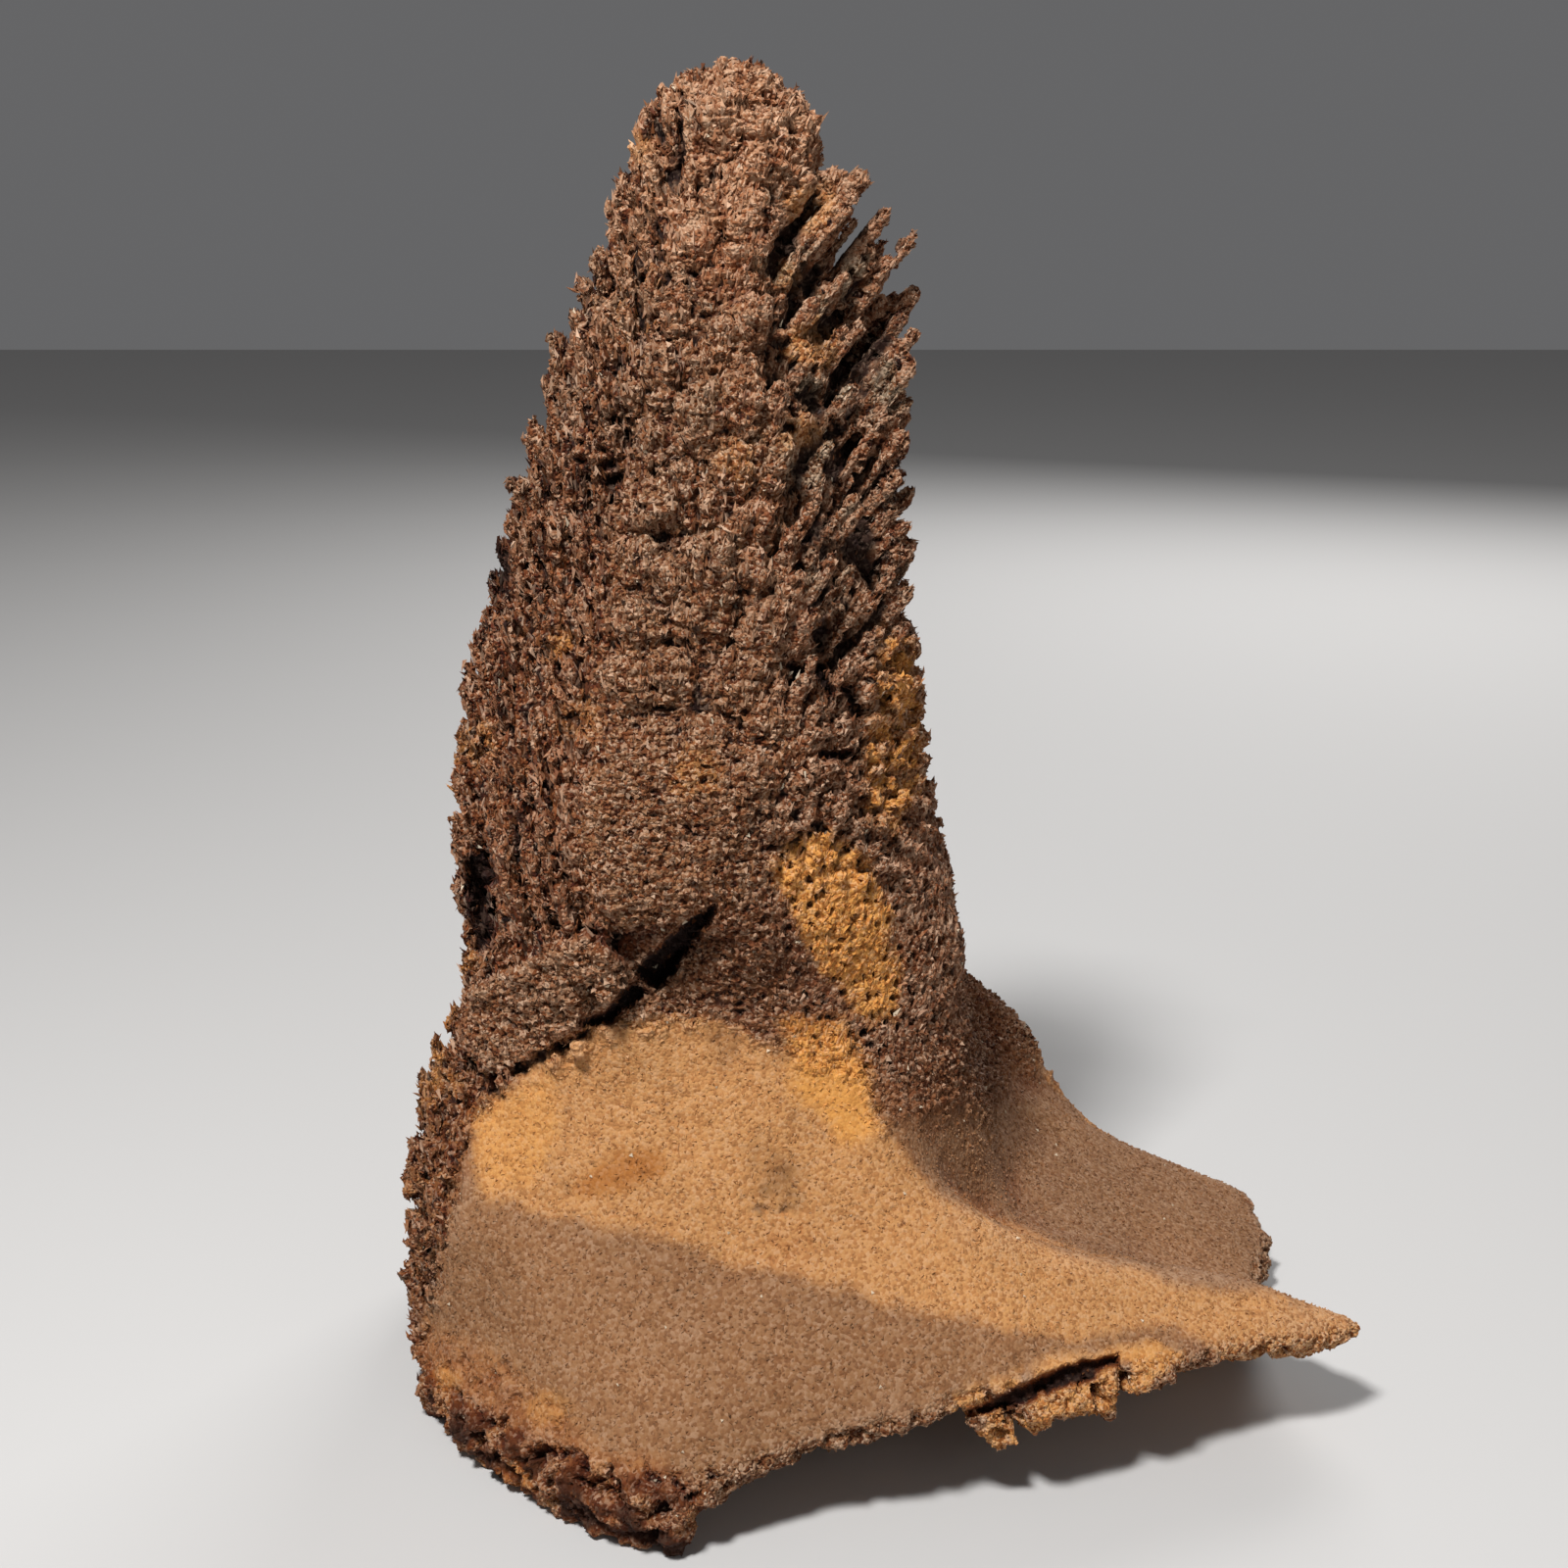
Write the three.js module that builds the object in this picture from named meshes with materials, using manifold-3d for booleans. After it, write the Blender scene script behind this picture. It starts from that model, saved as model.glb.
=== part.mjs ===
// An iron concretion: sand cemented by iron oxide into one upright, tapering trunk of fibrous columns,
// which flares at the bottom into a thin foot with a pointed ridge and a flat lobe on its right.
// Millimetres, +Z up, the broad front towards -Y.
import * as THREE from "three";
import { ImprovedNoise } from "three/addons/math/ImprovedNoise.js";
import { mergeVertices } from "three/addons/utils/BufferGeometryUtils.js";
import Module from "manifold-3d";

// ---- Driving dimensions -----------------------------------------------------------------------------

const HEIGHT = 300; // from the surface it stands on to the crown

// The trunk's outline at each height: middle in X, half its width, and how far it reaches to front and
// back.
const TRUNK = [
  { z: 299, middle: -11, half: 9, front: 7, back: 6 },
  { z: 296, middle: -11, half: 14, front: 11, back: 9 },
  { z: 288, middle: -12, half: 19, front: 15, back: 13 },
  { z: 272, middle: -13, half: 24, front: 19, back: 17 },
  { z: 258, middle: -14, half: 29, front: 22, back: 20 },
  { z: 238, middle: -16, half: 35, front: 28, back: 25 },
  { z: 210, middle: -17, half: 42, front: 34, back: 29 },
  { z: 180, middle: -18.5, half: 49, front: 41, back: 33 },
  { z: 150, middle: -20, half: 54, front: 46, back: 38 },
  { z: 125, middle: -19, half: 56.5, front: 46, back: 42 },
  { z: 100, middle: -16, half: 58, front: 41, back: 45 },
  { z: 0, middle: -14, half: 60, front: 42, back: 48 },
];
const SQUARENESS = 2.3; // exponent of the trunk's superellipse; 2 is an ellipse

// The foot, by azimuth round AXIS (0 is +X, -90 the front): how far its edge reaches, the height of the
// edge's top, the height of its underside (0 where it stands), the height at which the flare leaves the
// trunk, and the knee between steep trunk and gentle foot, as a radius and a height.
const AXIS = { x: -12, y: 0 };
const FOOT = [
  { azimuth: -180, reach: 78, top: 16, under: 0, start: 104, knee: 75, kneeTop: 70 },
  { azimuth: -155, reach: 82, top: 14, under: 0, start: 102, knee: 77, kneeTop: 58 },
  { azimuth: -130, reach: 85, top: 13, under: 0, start: 100, knee: 68, kneeTop: 50 },
  { azimuth: -110, reach: 91, top: 13, under: 0, start: 100, knee: 67, kneeTop: 45 },
  { azimuth: -97, reach: 95, top: 16, under: 0, start: 100, knee: 66, kneeTop: 43 },
  { azimuth: -92, reach: 92, top: 18, under: 11, start: 100, knee: 65, kneeTop: 43 },
  { azimuth: -78, reach: 87, top: 24, under: 17, start: 100, knee: 62, kneeTop: 46 },
  { azimuth: -57, reach: 92, top: 29, under: 23, start: 102, knee: 68, kneeTop: 50 },
  { azimuth: -42, reach: 104, top: 30, under: 24, start: 100, knee: 68, kneeTop: 53 },
  { azimuth: -34, reach: 114, top: 30, under: 24, start: 98, knee: 64, kneeTop: 49 },
  { azimuth: -24, reach: 131, top: 29, under: 22, start: 96, knee: 64, kneeTop: 42 },
  { azimuth: -16, reach: 151, top: 27, under: 20, start: 94, knee: 66, kneeTop: 38 },
  { azimuth: -8, reach: 131, top: 18, under: 10, start: 88, knee: 68, kneeTop: 34 },
  { azimuth: 0, reach: 130, top: 13, under: 0, start: 86, knee: 70, kneeTop: 33 },
  { azimuth: 10, reach: 140, top: 12, under: 0, start: 92, knee: 76, kneeTop: 33 },
  { azimuth: 21, reach: 148, top: 13, under: 0, start: 98, knee: 84, kneeTop: 36 },
  { azimuth: 29, reach: 121, top: 21, under: 0, start: 108, knee: 88, kneeTop: 42 },
  { azimuth: 35, reach: 105, top: 38, under: 0, start: 118, knee: 86, kneeTop: 58 },
  { azimuth: 37, reach: 102, top: 51, under: 0, start: 120, knee: 86, kneeTop: 66 },
  { azimuth: 50, reach: 95, top: 52, under: 0, start: 124, knee: 80, kneeTop: 72 },
  { azimuth: 68, reach: 84, top: 28, under: 0, start: 116, knee: 72, kneeTop: 60 },
  { azimuth: 90, reach: 78, top: 15, under: 0, start: 105, knee: 66, kneeTop: 45 },
  { azimuth: 120, reach: 79, top: 14, under: 0, start: 97, knee: 68, kneeTop: 42 },
  { azimuth: 150, reach: 79, top: 15, under: 0, start: 100, knee: 72, kneeTop: 55 },
];
// Mm of overlap, and how late each part of the flare spreads
const KNEE = { soft: 6, trunkward: 1.7, edgeward: 1.1 };
// Width of the standing ring, height of the hollow, radius of its roof
const HOLLOW = { wall: 17, ceiling: 26, roof: 30 };

// Long forms on the foot, each a line seen from above that is raised or sunk: the ridge that runs out
// to the point, and the valley between it and the flat lobe.
const RELIEF = [
  { line: [[28, -50], [45, -50], [66, -46], [88, -42], [111, -39]], wide: 9, by: 5 },
  { line: [[40, -22], [60, -22], [85, -19], [112, -18]], wide: 14, by: -4 },
];

// The grid of the skin: columns go round, rows go down. On the trunk they come in pairs, a lip and the
// root above it.
const COLUMN_STEP = { front: 6.5, back: 11 }; // degrees between columns, at most
const ROWS = { trunk: 13, flare: 6, under: 2 };
const RAGGED = 1.8; // mm in or out along the foot's edge
const UNDULATION = { trunk: 2.0, foot: 1.0, wave: 26 }; // mm out or in, and mm from swell to swell

// The ledges: every one is a row of scales with rounded tips that stand out over the root of the scales
// above.
const SCALE = { width: 15, rise: 5, proud: 4.2, ledge: 1.0, shear: 0.35, uneven: 11 };

// How far the fibres lean to the right as they rise, across the trunk (-1 is its left side, 1 its
// right).
const LEAN = [
  { across: -1.3, lean: -0.3 },
  { across: -0.6, lean: -0.14 },
  { across: 0, lean: 0.02 },
  { across: 0.4, lean: 0.34 },
  { across: 0.8, lean: 0.72 },
  { across: 1.3, lean: 0.85 },
];
const LEAN_OUT = 0.06; // and outwards, to front and back

const SEED = 11;

// Places where the skin stands out or sinks in: azimuth and height of the middle, half width in
// degrees, half height.
const SWELLS = [
  { at: -110, z: 134, wide: 28, high: 17, by: 4 },
  { at: -92, z: 107, wide: 20, high: 9, by: -4 },
  { at: -20, z: 215, wide: 42, high: 45, by: -2.5 },
  { at: -20, z: 150, wide: 30, high: 20, by: -1.5 },
];

// ---- Small tools ------------------------------------------------------------------------------------

const noise = new ImprovedNoise();
const rad = THREE.MathUtils.degToRad;
const { clamp, lerp, smoothstep } = THREE.MathUtils;

// A seeded random number source, so that every run gives the same stone.
function randomSource(seed) {
  let state = seed;
  return (low = 0, high = 1) => {
    state = (state + 0x6d2b79f5) | 0;
    let t = Math.imul(state ^ (state >>> 15), 1 | state);
    t = (t + Math.imul(t ^ (t >>> 7), 61 | t)) ^ t;
    return low + (((t ^ (t >>> 14)) >>> 0) / 4294967296) * (high - low);
  };
}

// Every field of a table at a value of its key, smoothly and without overshoot between the rows. wrap
// is the period of a round table.
function lookUp(table, key, value, wrap = 0) {
  const rows = [...table].sort((a, b) => a[key] - b[key]);
  const n = rows.length;
  const at = (i) =>
    wrap
      ? { ...rows[(i + n) % n], [key]: rows[(i + n) % n][key] + wrap * Math.floor(i / n) }
      : rows[clamp(i, 0, n - 1)];
  let v = value;
  if (wrap) v = rows[0][key] + ((((value - rows[0][key]) % wrap) + wrap) % wrap);
  let i = 0;
  while (i < n - (wrap ? 1 : 2) && at(i + 1)[key] <= v) i++;
  const [p0, p1, p2, p3] = [at(i - 1), at(i), at(i + 1), at(i + 2)];
  const t = clamp((v - p1[key]) / (p2[key] - p1[key]), 0, 1);
  const found = {};
  const span = p2[key] - p1[key];
  for (const field of Object.keys(p1)) {
    const slope = (a, b) => (a[key] === b[key] ? 0 : (b[field] - a[field]) / (b[key] - a[key]));
    const between = (before, after) => (before * after > 0 ? (2 * before * after) / (before + after) : 0);
    const [s0, s1, s2] = [slope(p0, p1), slope(p1, p2), slope(p2, p3)];
    const [m1, m2] = [between(s0, s1) * span, between(s1, s2) * span];
    const [t2, t3] = [t * t, t * t * t];
    const values = (2 * t3 - 3 * t2 + 1) * p1[field] + (3 * t2 - 2 * t3) * p2[field];
    const slopes = (t3 - 2 * t2 + t) * m1 + (t3 - t2) * m2;
    found[field] = values + slopes;
  }
  return found;
}

// ---- The skin: one closed surface of trunk, foot and hollow -----------------------------------------

// Signed distance round the trunk, in degrees, from one azimuth to another.
const turn = (from, to) => ((((to - from + 180) % 360) + 360) % 360) - 180;

// How far the skin moves out or in at a point, for what is larger than one fibre.
function swell(point, azimuth, onTrunk) {
  const { trunk, foot, wave } = UNDULATION;
  const { x, y, z } = point;
  const wavy = noise.noise(x / wave, y / wave, z / wave + 7) + 0.5 * noise.noise(x / 11, y / 11 + 3, z / 11);
  let out = wavy * lerp(foot, trunk, onTrunk);
  for (const { at, z: height, wide, high, by } of SWELLS) {
    const across = turn(at, azimuth) / wide;
    const up = (z - height) / high;
    out += by * Math.exp(-across * across - up * up);
  }
  return out;
}

// How much higher the foot is at a place than its profiles give, for the forms of RELIEF.
function reliefAt(x, y) {
  const here = new THREE.Vector3(x, y, 0);
  const nearest = new THREE.Vector3();
  let height = 0;
  for (const { line, wide, by } of RELIEF) {
    let distance = Infinity;
    for (let i = 0; i + 1 < line.length; i++) {
      const piece = new THREE.Line3(new THREE.Vector3(...line[i], 0), new THREE.Vector3(...line[i + 1], 0));
      distance = Math.min(distance, piece.closestPointToPoint(here, true, nearest).distanceTo(here));
    }
    height += by * Math.exp(-((distance / wide) ** 2));
  }
  return height;
}

// The point of the skin at an azimuth and a height above the foot's edge.
function skin(azimuth, z) {
  const { reach, top, start, knee, kneeTop } = lookUp(FOOT, "azimuth", azimuth, 360);
  const level = lookUp(TRUNK, "z", Math.max(z, start));
  const [c, s] = [Math.cos(rad(azimuth)), Math.sin(rad(azimuth))];
  const deep = s < 0 ? level.front : level.back;
  const power = Math.abs(c / level.half) ** SQUARENESS + Math.abs(s / deep) ** SQUARENESS;
  const ring = power ** (-1 / SQUARENESS);
  const above = clamp((start - z) / (start - kneeTop), 0, 1) ** KNEE.trunkward;
  const below = clamp((kneeTop + KNEE.soft - z) / (kneeTop + KNEE.soft - top), 0, 1) ** KNEE.edgeward;
  const radius = ring + (knee - ring) * above + (reach - knee) * below;
  const down = clamp((start - z) / (start - top), 0, 1);
  const centre = lerp(level.middle, AXIS.x, smoothstep(down, 0, 0.7));
  const out = swell({ x: centre + radius * c, y: radius * s, z }, azimuth, 1 - smoothstep(down, 0, 0.6));
  const total = radius + out * (1 - smoothstep(down, 0.9, 1));
  return new THREE.Vector3(centre + total * c, AXIS.y + total * s, z);
}

// How much the scales stand out: less low on the front and on the right, and on the foot only on its
// left.
function scaleStrength(azimuth, z) {
  const front = Math.exp(-((turn(-90, azimuth) / 50) ** 4));
  const right = Math.exp(-((turn(-8, azimuth) / 48) ** 4));
  const left = Math.exp(-((turn(-176, azimuth) / 34) ** 4));
  const lowFront = front * (1 - smoothstep(z, 165, 205));
  const onTrunk = (1 - 0.85 * lowFront - 0.5 * right) * smoothstep(z, 95, 115);
  return clamp(Math.max(onTrunk, 0.7 * left), 0, 1);
}

// A row of scales at one azimuth: how much of a scale's full height and width is met there, 0 between
// two scales.
function scaleProfile(row, azimuth, radius) {
  const count = Math.max(6, Math.round((2 * Math.PI * radius) / SCALE.width));
  const place = ((azimuth + 360) / 360) * count + 0.5 * (row % 2) + SCALE.shear * row;
  const number = Math.floor(place) % count;
  const across = place - Math.floor(place);
  const size = 0.75 + 0.5 * Math.abs(noise.noise(number * 1.7 + 0.3, row * 2.3 + 0.7, 4));
  return (1 - Math.abs(2 * across - 1) ** 2.5) * size;
}

// The lip of one ledge at one azimuth and the root above it. Where no scales stand out, the root is
// just the next row of the grid, half way up to the ledge above.
function ledgePoints(azimuth, row, level, levelAbove) {
  const centre = skin(azimuth, level);
  const radius = Math.hypot(centre.x - lookUp(TRUNK, "z", level).middle, centre.y);
  const strength = scaleStrength(azimuth, level);
  const profile = scaleProfile(row, azimuth, Math.max(radius, 12));
  const [c, s] = [Math.cos(rad(azimuth)), Math.sin(rad(azimuth))];
  const uneven = SCALE.uneven * noise.noise(c * 1.6, s * 1.6, row * 0.9);
  const rise = strength * (SCALE.rise * (profile - 0.5) + uneven);
  const halfWay = (levelAbove - level) / 2;
  const height = level + clamp(rise, -halfWay, halfWay);
  const above = height + lerp(halfWay, SCALE.ledge, smoothstep(strength, 0, 0.6));
  const [lip, root] = [skin(azimuth, height), skin(azimuth, above)];
  const out = outOfSkin(azimuth, height);
  lip.addScaledVector(out, SCALE.proud * strength * (profile - 0.25));
  root.addScaledVector(out, -0.35 * SCALE.proud * strength);
  root.z = Math.max(root.z, lip.z + 0.4);
  return [root, lip];
}

// The direction straight out of the skin there.
function outOfSkin(azimuth, z) {
  const step = 3;
  const round = skin(azimuth + step, z).sub(skin(azimuth - step, z));
  const up = skin(azimuth, z + step).sub(skin(azimuth, z - step));
  return round.cross(up).normalize();
}

// The azimuth at which the front of the skin passes through a given x at a given height.
function azimuthAt(x, z) {
  let [low, high] = [-178, -2];
  for (let i = 0; i < 24; i++) {
    const half = (low + high) / 2;
    if (skin(half, z).x < x) low = half;
    else high = half;
  }
  return (low + high) / 2;
}

// The columns of the grid, close enough together and with one at every corner of the foot.
function columnAzimuths() {
  const corners = FOOT.map((corner) => corner.azimuth).sort((a, b) => a - b);
  const columns = [];
  for (let i = 0; i < corners.length; i++) {
    const next = i + 1 < corners.length ? corners[i + 1] : corners[0] + 360;
    const step = corners[i] < -5 ? COLUMN_STEP.front : COLUMN_STEP.back;
    const pieces = Math.ceil((next - corners[i]) / step);
    for (let j = 0; j < pieces; j++) columns.push(lerp(corners[i], next, j / pieces));
  }
  return columns;
}

// The height at a given share of the way down the flare, measured along its slope.
function evenLevels(azimuth, start, top) {
  const steps = 24;
  const heights = Array.from({ length: steps + 1 }, (_, i) => lerp(start, top, i / steps));
  const slope = heights.map((z) => skin(azimuth, z));
  const lengths = [0];
  for (let i = 1; i <= steps; i++) lengths.push(lengths[i - 1] + slope[i].distanceTo(slope[i - 1]));
  return (share) => {
    const wanted = clamp(share, 0, 1) * lengths[steps];
    let i = 1;
    while (i < steps && lengths[i] < wanted) i++;
    return lerp(heights[i - 1], heights[i], (wanted - lengths[i - 1]) / (lengths[i] - lengths[i - 1]));
  };
}

// One column of the grid, from under the crown down to under the roof of the hollow.
function columnPoints(azimuth) {
  const { reach, top, under, start } = lookUp(FOOT, "azimuth", azimuth, 360);
  const [c, s] = [Math.cos(rad(azimuth)), Math.sin(rad(azimuth))];
  const around = (radius, z) => new THREE.Vector3(AXIS.x + radius * c, AXIS.y + radius * s, z);
  const points = [];
  points.push(skin(azimuth, TRUNK[0].z));
  const trunkLevel = (row) => lerp(TRUNK[0].z, start, (row + 0.7) / ROWS.trunk);
  for (let row = 0; row < ROWS.trunk; row++) {
    points.push(...ledgePoints(azimuth, row, trunkLevel(row), trunkLevel(row - 1)));
  }
  const flareLevel = evenLevels(azimuth, start, top);
  for (let row = 0; row < ROWS.flare; row++) {
    const [level, above] = [row + 0.7, row - 0.3].map((place) => flareLevel(place / (ROWS.flare + 0.4)));
    points.push(...ledgePoints(azimuth, ROWS.trunk + row, level, above));
  }
  for (const point of points) {
    const down = clamp((start - point.z) / (start - top), 0, 1);
    point.z += smoothstep(down, 0.3, 0.6) * (1 - smoothstep(down, 0.9, 1)) * reliefAt(point.x, point.y);
  }
  points.push(skin(azimuth, top));
  const ragged = RAGGED * noise.noise(azimuth / 9, 2.5, 0);
  points.push(around(reach + ragged, lerp(top, under, 0.35)));
  points.push(around(reach - 2 + ragged, lerp(top, under, 0.8)));
  points.push(around(reach - 4 + ragged, under));
  for (let i = 0; i <= ROWS.under; i++) {
    const inward = i / ROWS.under;
    const radius = lerp(reach - HOLLOW.wall, HOLLOW.roof, inward);
    points.push(around(radius, lerp(under, HOLLOW.ceiling, Math.sin((inward * Math.PI) / 2))));
  }
  return points;
}

// Joins the columns of the grid into one closed surface, with one point at the crown and one at the
// roof.
function bodyGeometry() {
  const columns = columnAzimuths().map(columnPoints);
  const [across, tall] = [columns.length, columns[0].length];
  const positions = columns.flat().flatMap((p) => [p.x, p.y, p.z]);
  const crown = across * tall;
  const roof = crown + 1;
  positions.push(TRUNK[0].middle, 0, HEIGHT, AXIS.x, AXIS.y, HOLLOW.ceiling + 1);
  const index = [];
  for (let i = 0; i < across; i++) {
    const [here, next] = [i * tall, ((i + 1) % across) * tall];
    index.push(crown, here, next);
    for (let j = 0; j + 1 < tall; j++) {
      index.push(here + j, here + j + 1, next + j);
      index.push(next + j, here + j + 1, next + j + 1);
    }
    index.push(roof, next + tall - 1, here + tall - 1);
  }
  const geometry = new THREE.BufferGeometry();
  geometry.setAttribute("position", new THREE.Float32BufferAttribute(positions, 3));
  geometry.setIndex(index);
  return geometry;
}

// ---- Bars, scales, lumps and cuts -------------------------------------------------------------------

// One upright fibre or scale: a flat bar with a rounded tip, its lower end inside the trunk.
function barGeometry({ tip, along, outward, width, thick, length, sides = 6 }) {
  const side = new THREE.Vector3().crossVectors(along, outward).normalize();
  const face = new THREE.Vector3().crossVectors(side, along).normalize();
  const rings = [
    { down: width * 0.15, size: 0.6 },
    { down: width * 0.55, size: 1 },
    { down: length, size: 0.8 },
  ];
  if (sides < 6) rings.shift();
  const positions = [tip.x, tip.y, tip.z];
  for (const { down, size } of rings) {
    for (let i = 0; i < sides; i++) {
      const angle = ((i + 0.5) / sides) * 2 * Math.PI;
      const p = tip.clone().addScaledVector(along, -down);
      p.addScaledVector(side, (Math.cos(angle) * width * size) / 2);
      p.addScaledVector(face, (Math.sin(angle) * thick * Math.sqrt(size)) / 2);
      positions.push(p.x, p.y, p.z);
    }
  }
  const foot = tip.clone().addScaledVector(along, -length);
  positions.push(foot.x, foot.y, foot.z);
  const last = 1 + rings.length * sides;
  const index = [];
  for (let i = 0; i < sides; i++) {
    const j = (i + 1) % sides;
    index.push(0, 1 + j, 1 + i);
    for (let r = 0; r + 1 < rings.length; r++) {
      const [a, b] = [1 + r * sides, 1 + (r + 1) * sides];
      index.push(a + i, a + j, b + i, a + j, b + j, b + i);
    }
    index.push(last, last - sides + i, last - sides + j);
  }
  const geometry = new THREE.BufferGeometry();
  geometry.setAttribute("position", new THREE.Float32BufferAttribute(positions, 3));
  geometry.setIndex(index);
  return geometry;
}

// Which way the fibres run at a place on the skin: up, fanned to the sides, and leaning out.
function fibreDirection(azimuth, z) {
  const level = lookUp(TRUNK, "z", z);
  const across = (skin(azimuth, z).x - level.middle) / level.half;
  const { lean } = lookUp(LEAN, "across", across);
  return new THREE.Vector3(lean, LEAN_OUT * Math.sin(rad(azimuth)), 1).normalize();
}

// A bar whose tip stands a given distance out of the skin.
function barOnSkin({ azimuth, z, width, thick, proud, length = 2.2 * width + 6 }) {
  const outward = outOfSkin(azimuth, z);
  const along = fibreDirection(azimuth, z);
  const tip = skin(azimuth, z).addScaledVector(outward, proud - thick / 2);
  return barGeometry({ tip, along, outward, width, thick, length });
}

// A rounded lump or hollow: a coarse ball, stretched along its own axes and turned.
function lumpGeometry({ at, size, along = [0, 0, 1], outward = [0, -1, 0], rough = 0 }) {
  const up = new THREE.Vector3(...along).normalize();
  const side = new THREE.Vector3().crossVectors(up, new THREE.Vector3(...outward)).normalize();
  const face = new THREE.Vector3().crossVectors(side, up);
  const ball = new THREE.SphereGeometry(1, 7, 5);
  const position = ball.getAttribute("position");
  for (let i = 0; i < position.count; i++) {
    const p = new THREE.Vector3().fromBufferAttribute(position, i);
    p.multiplyScalar(1 + rough * noise.noise(p.x * 1.7 + at[0], p.y * 1.7 + at[1], p.z * 1.7 + at[2]));
    const moved = new THREE.Vector3(...at);
    moved.addScaledVector(side, p.x * size[0]);
    moved.addScaledVector(face, p.z * size[1]);
    moved.addScaledVector(up, p.y * size[2]);
    position.setXYZ(i, moved.x, moved.y, moved.z);
  }
  return ball;
}

// ---- Where they stand -------------------------------------------------------------------------------

const random = randomSource(SEED);

// The scales that stand out most on the front: x and height of each tip, how wide it is and how far it
// stands out.
const FRONT_SCALES = [
  { x: -29, z: 286, width: 12, proud: 4.5 },
  { x: 0, z: 285, width: 19, proud: 6 },
  { x: 8, z: 274, width: 15, proud: 6.5 },
  { x: -7, z: 261, width: 16, proud: 6 },
  { x: 4, z: 248, width: 14, proud: 6.5 },
  { x: -9, z: 244, width: 20, proud: 5.5 },
  { x: 10, z: 240, width: 14, proud: 7 },
  { x: 3, z: 230, width: 14, proud: 6.5 },
  { x: -16, z: 219, width: 20, proud: 5.5 },
  { x: 0, z: 218, width: 20, proud: 6 },
  { x: 16, z: 263, width: 12, proud: 6.5 },
  { x: 21, z: 251, width: 12, proud: 6.5 },
  { x: -10, z: 205, width: 20, proud: 5 },
  { x: 8, z: 203, width: 15, proud: 5.5 },
  { x: -44, z: 111, width: 38, proud: 2.4, thick: 9, length: 44 }, // left of the cleft
];
const SCALE_FLATNESS = 0.55; // thickness of a scale over its width

// Bars in rows round the trunk: which azimuths and heights they cover, how far apart they are and how
// big.
const BAR_FIELDS = [
  // the right flank: slender bars with gaps between them, leaning far to the right
  {
    from: -56,
    to: 22,
    low: 176,
    high: 262,
    apart: 11.5,
    rise: 13.5,
    width: [4.5, 6.5],
    thick: [4, 5.5],
    proud: [6, 9],
  },
];

// Bars in staggered rows over one field.
function barsOfField({ from, to, low, high, apart, rise, width, thick, proud }) {
  const bars = [];
  const rows = Math.round((high - low) / rise);
  for (let row = 0; row <= rows; row++) {
    const z = lerp(high, low, row / rows);
    const middle = skin((from + to) / 2, z);
    const radius = Math.hypot(middle.x - lookUp(TRUNK, "z", z).middle, middle.y);
    const count = Math.max(2, Math.round((rad(to - from) * radius) / apart));
    for (let i = 0; i < count; i++) {
      const azimuth = lerp(from, to, (i + 0.5 * (row % 2) + random(0.1, 0.6)) / count);
      bars.push(
        barOnSkin({
          azimuth,
          z: z + random(-0.3, 0.3) * rise,
          width: random(...width),
          thick: random(...thick),
          proud: random(...proud),
          sides: 5,
        }),
      );
    }
  }
  return bars;
}

const scales = FRONT_SCALES.map(({ x, z, width, thick = width * SCALE_FLATNESS, ...rest }) =>
  barOnSkin({ azimuth: azimuthAt(x, z), z, width, thick, sides: 6, ...rest }),
);

// The bars that stand free at the top of the right flank: the tip of each, and how long and wide it is.
const FREE_BARS = [
  { tip: [12.5, -6, 280], length: 20, width: 4.5 },
  { tip: [17.5, -10, 279], length: 26, width: 5 },
  { tip: [22.5, -6, 271.5], length: 24, width: 4.5 },
  { tip: [28.5, -4, 267], length: 32, width: 5 },
  { tip: [29.5, 2, 255], length: 26, width: 5.5 },
  { tip: [30, -12, 248], length: 28, width: 5 },
];
const FREE_LEAN = { x: 0.62, y: -0.08, z: 0.78 };
const freeBars = FREE_BARS.map(({ tip, length, width }) =>
  barGeometry({
    tip: new THREE.Vector3(...tip),
    along: new THREE.Vector3(FREE_LEAN.x, FREE_LEAN.y, FREE_LEAN.z).normalize(),
    outward: new THREE.Vector3(0.3, -0.95, 0).normalize(),
    width,
    thick: width * 0.9,
    length,
  }),
);

// The shards of a second, looser layer under the raised edge of the foot.
const LUMPS = [
  { at: [45, -71, 19], size: [7, 5, 5], along: [0.4, 0.1, 1], rough: 0.8 },
  { at: [54, -70, 22], size: [8, 6, 4], along: [-0.2, 0.1, 1], rough: 0.8 },
  { at: [65, -67, 23], size: [9, 6, 4], along: [0.1, 0.1, 1], rough: 0.8 },
  { at: [78, -62, 24.5], size: [9, 6, 3.5], along: [-0.1, 0.1, 1], rough: 0.8 },
];

// What is missing: the cleft under the bulge, the hole and the cavity on the left, and pits on the
// right.
const HOLES = [
  { at: [-22, -46, 112], size: [4.2, 13, 15], along: [0.72, 0, 0.7], outward: [0.2, -0.95, -0.3] },
  { at: [-36, -50, 100], size: [2.4, 9, 9], along: [0.9, 0, 0.4], outward: [0.1, -0.95, -0.3] },
  { at: [-60.5, -12, 202], size: [2.4, 12, 8.5], along: [-0.12, 0, 1], outward: [0, -1, 0] },
  { at: [-70, -17, 119], size: [3.5, 11, 13], along: [-0.08, 0, 1], outward: [0, -1, 0] },
  { at: [19, -36, 158], size: [3.5, 7, 5], along: [0.5, 0, 0.85], outward: [0.3, -0.95, 0] },
  { at: [8, -42, 168], size: [2.5, 6, 4.5], along: [0.5, 0, 0.85], outward: [0.2, -0.95, 0] },
  { at: [16, -43, 138], size: [5, 6, 2.5], along: [0, 0, 1], outward: [0.3, -0.95, 0] },
];

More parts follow.
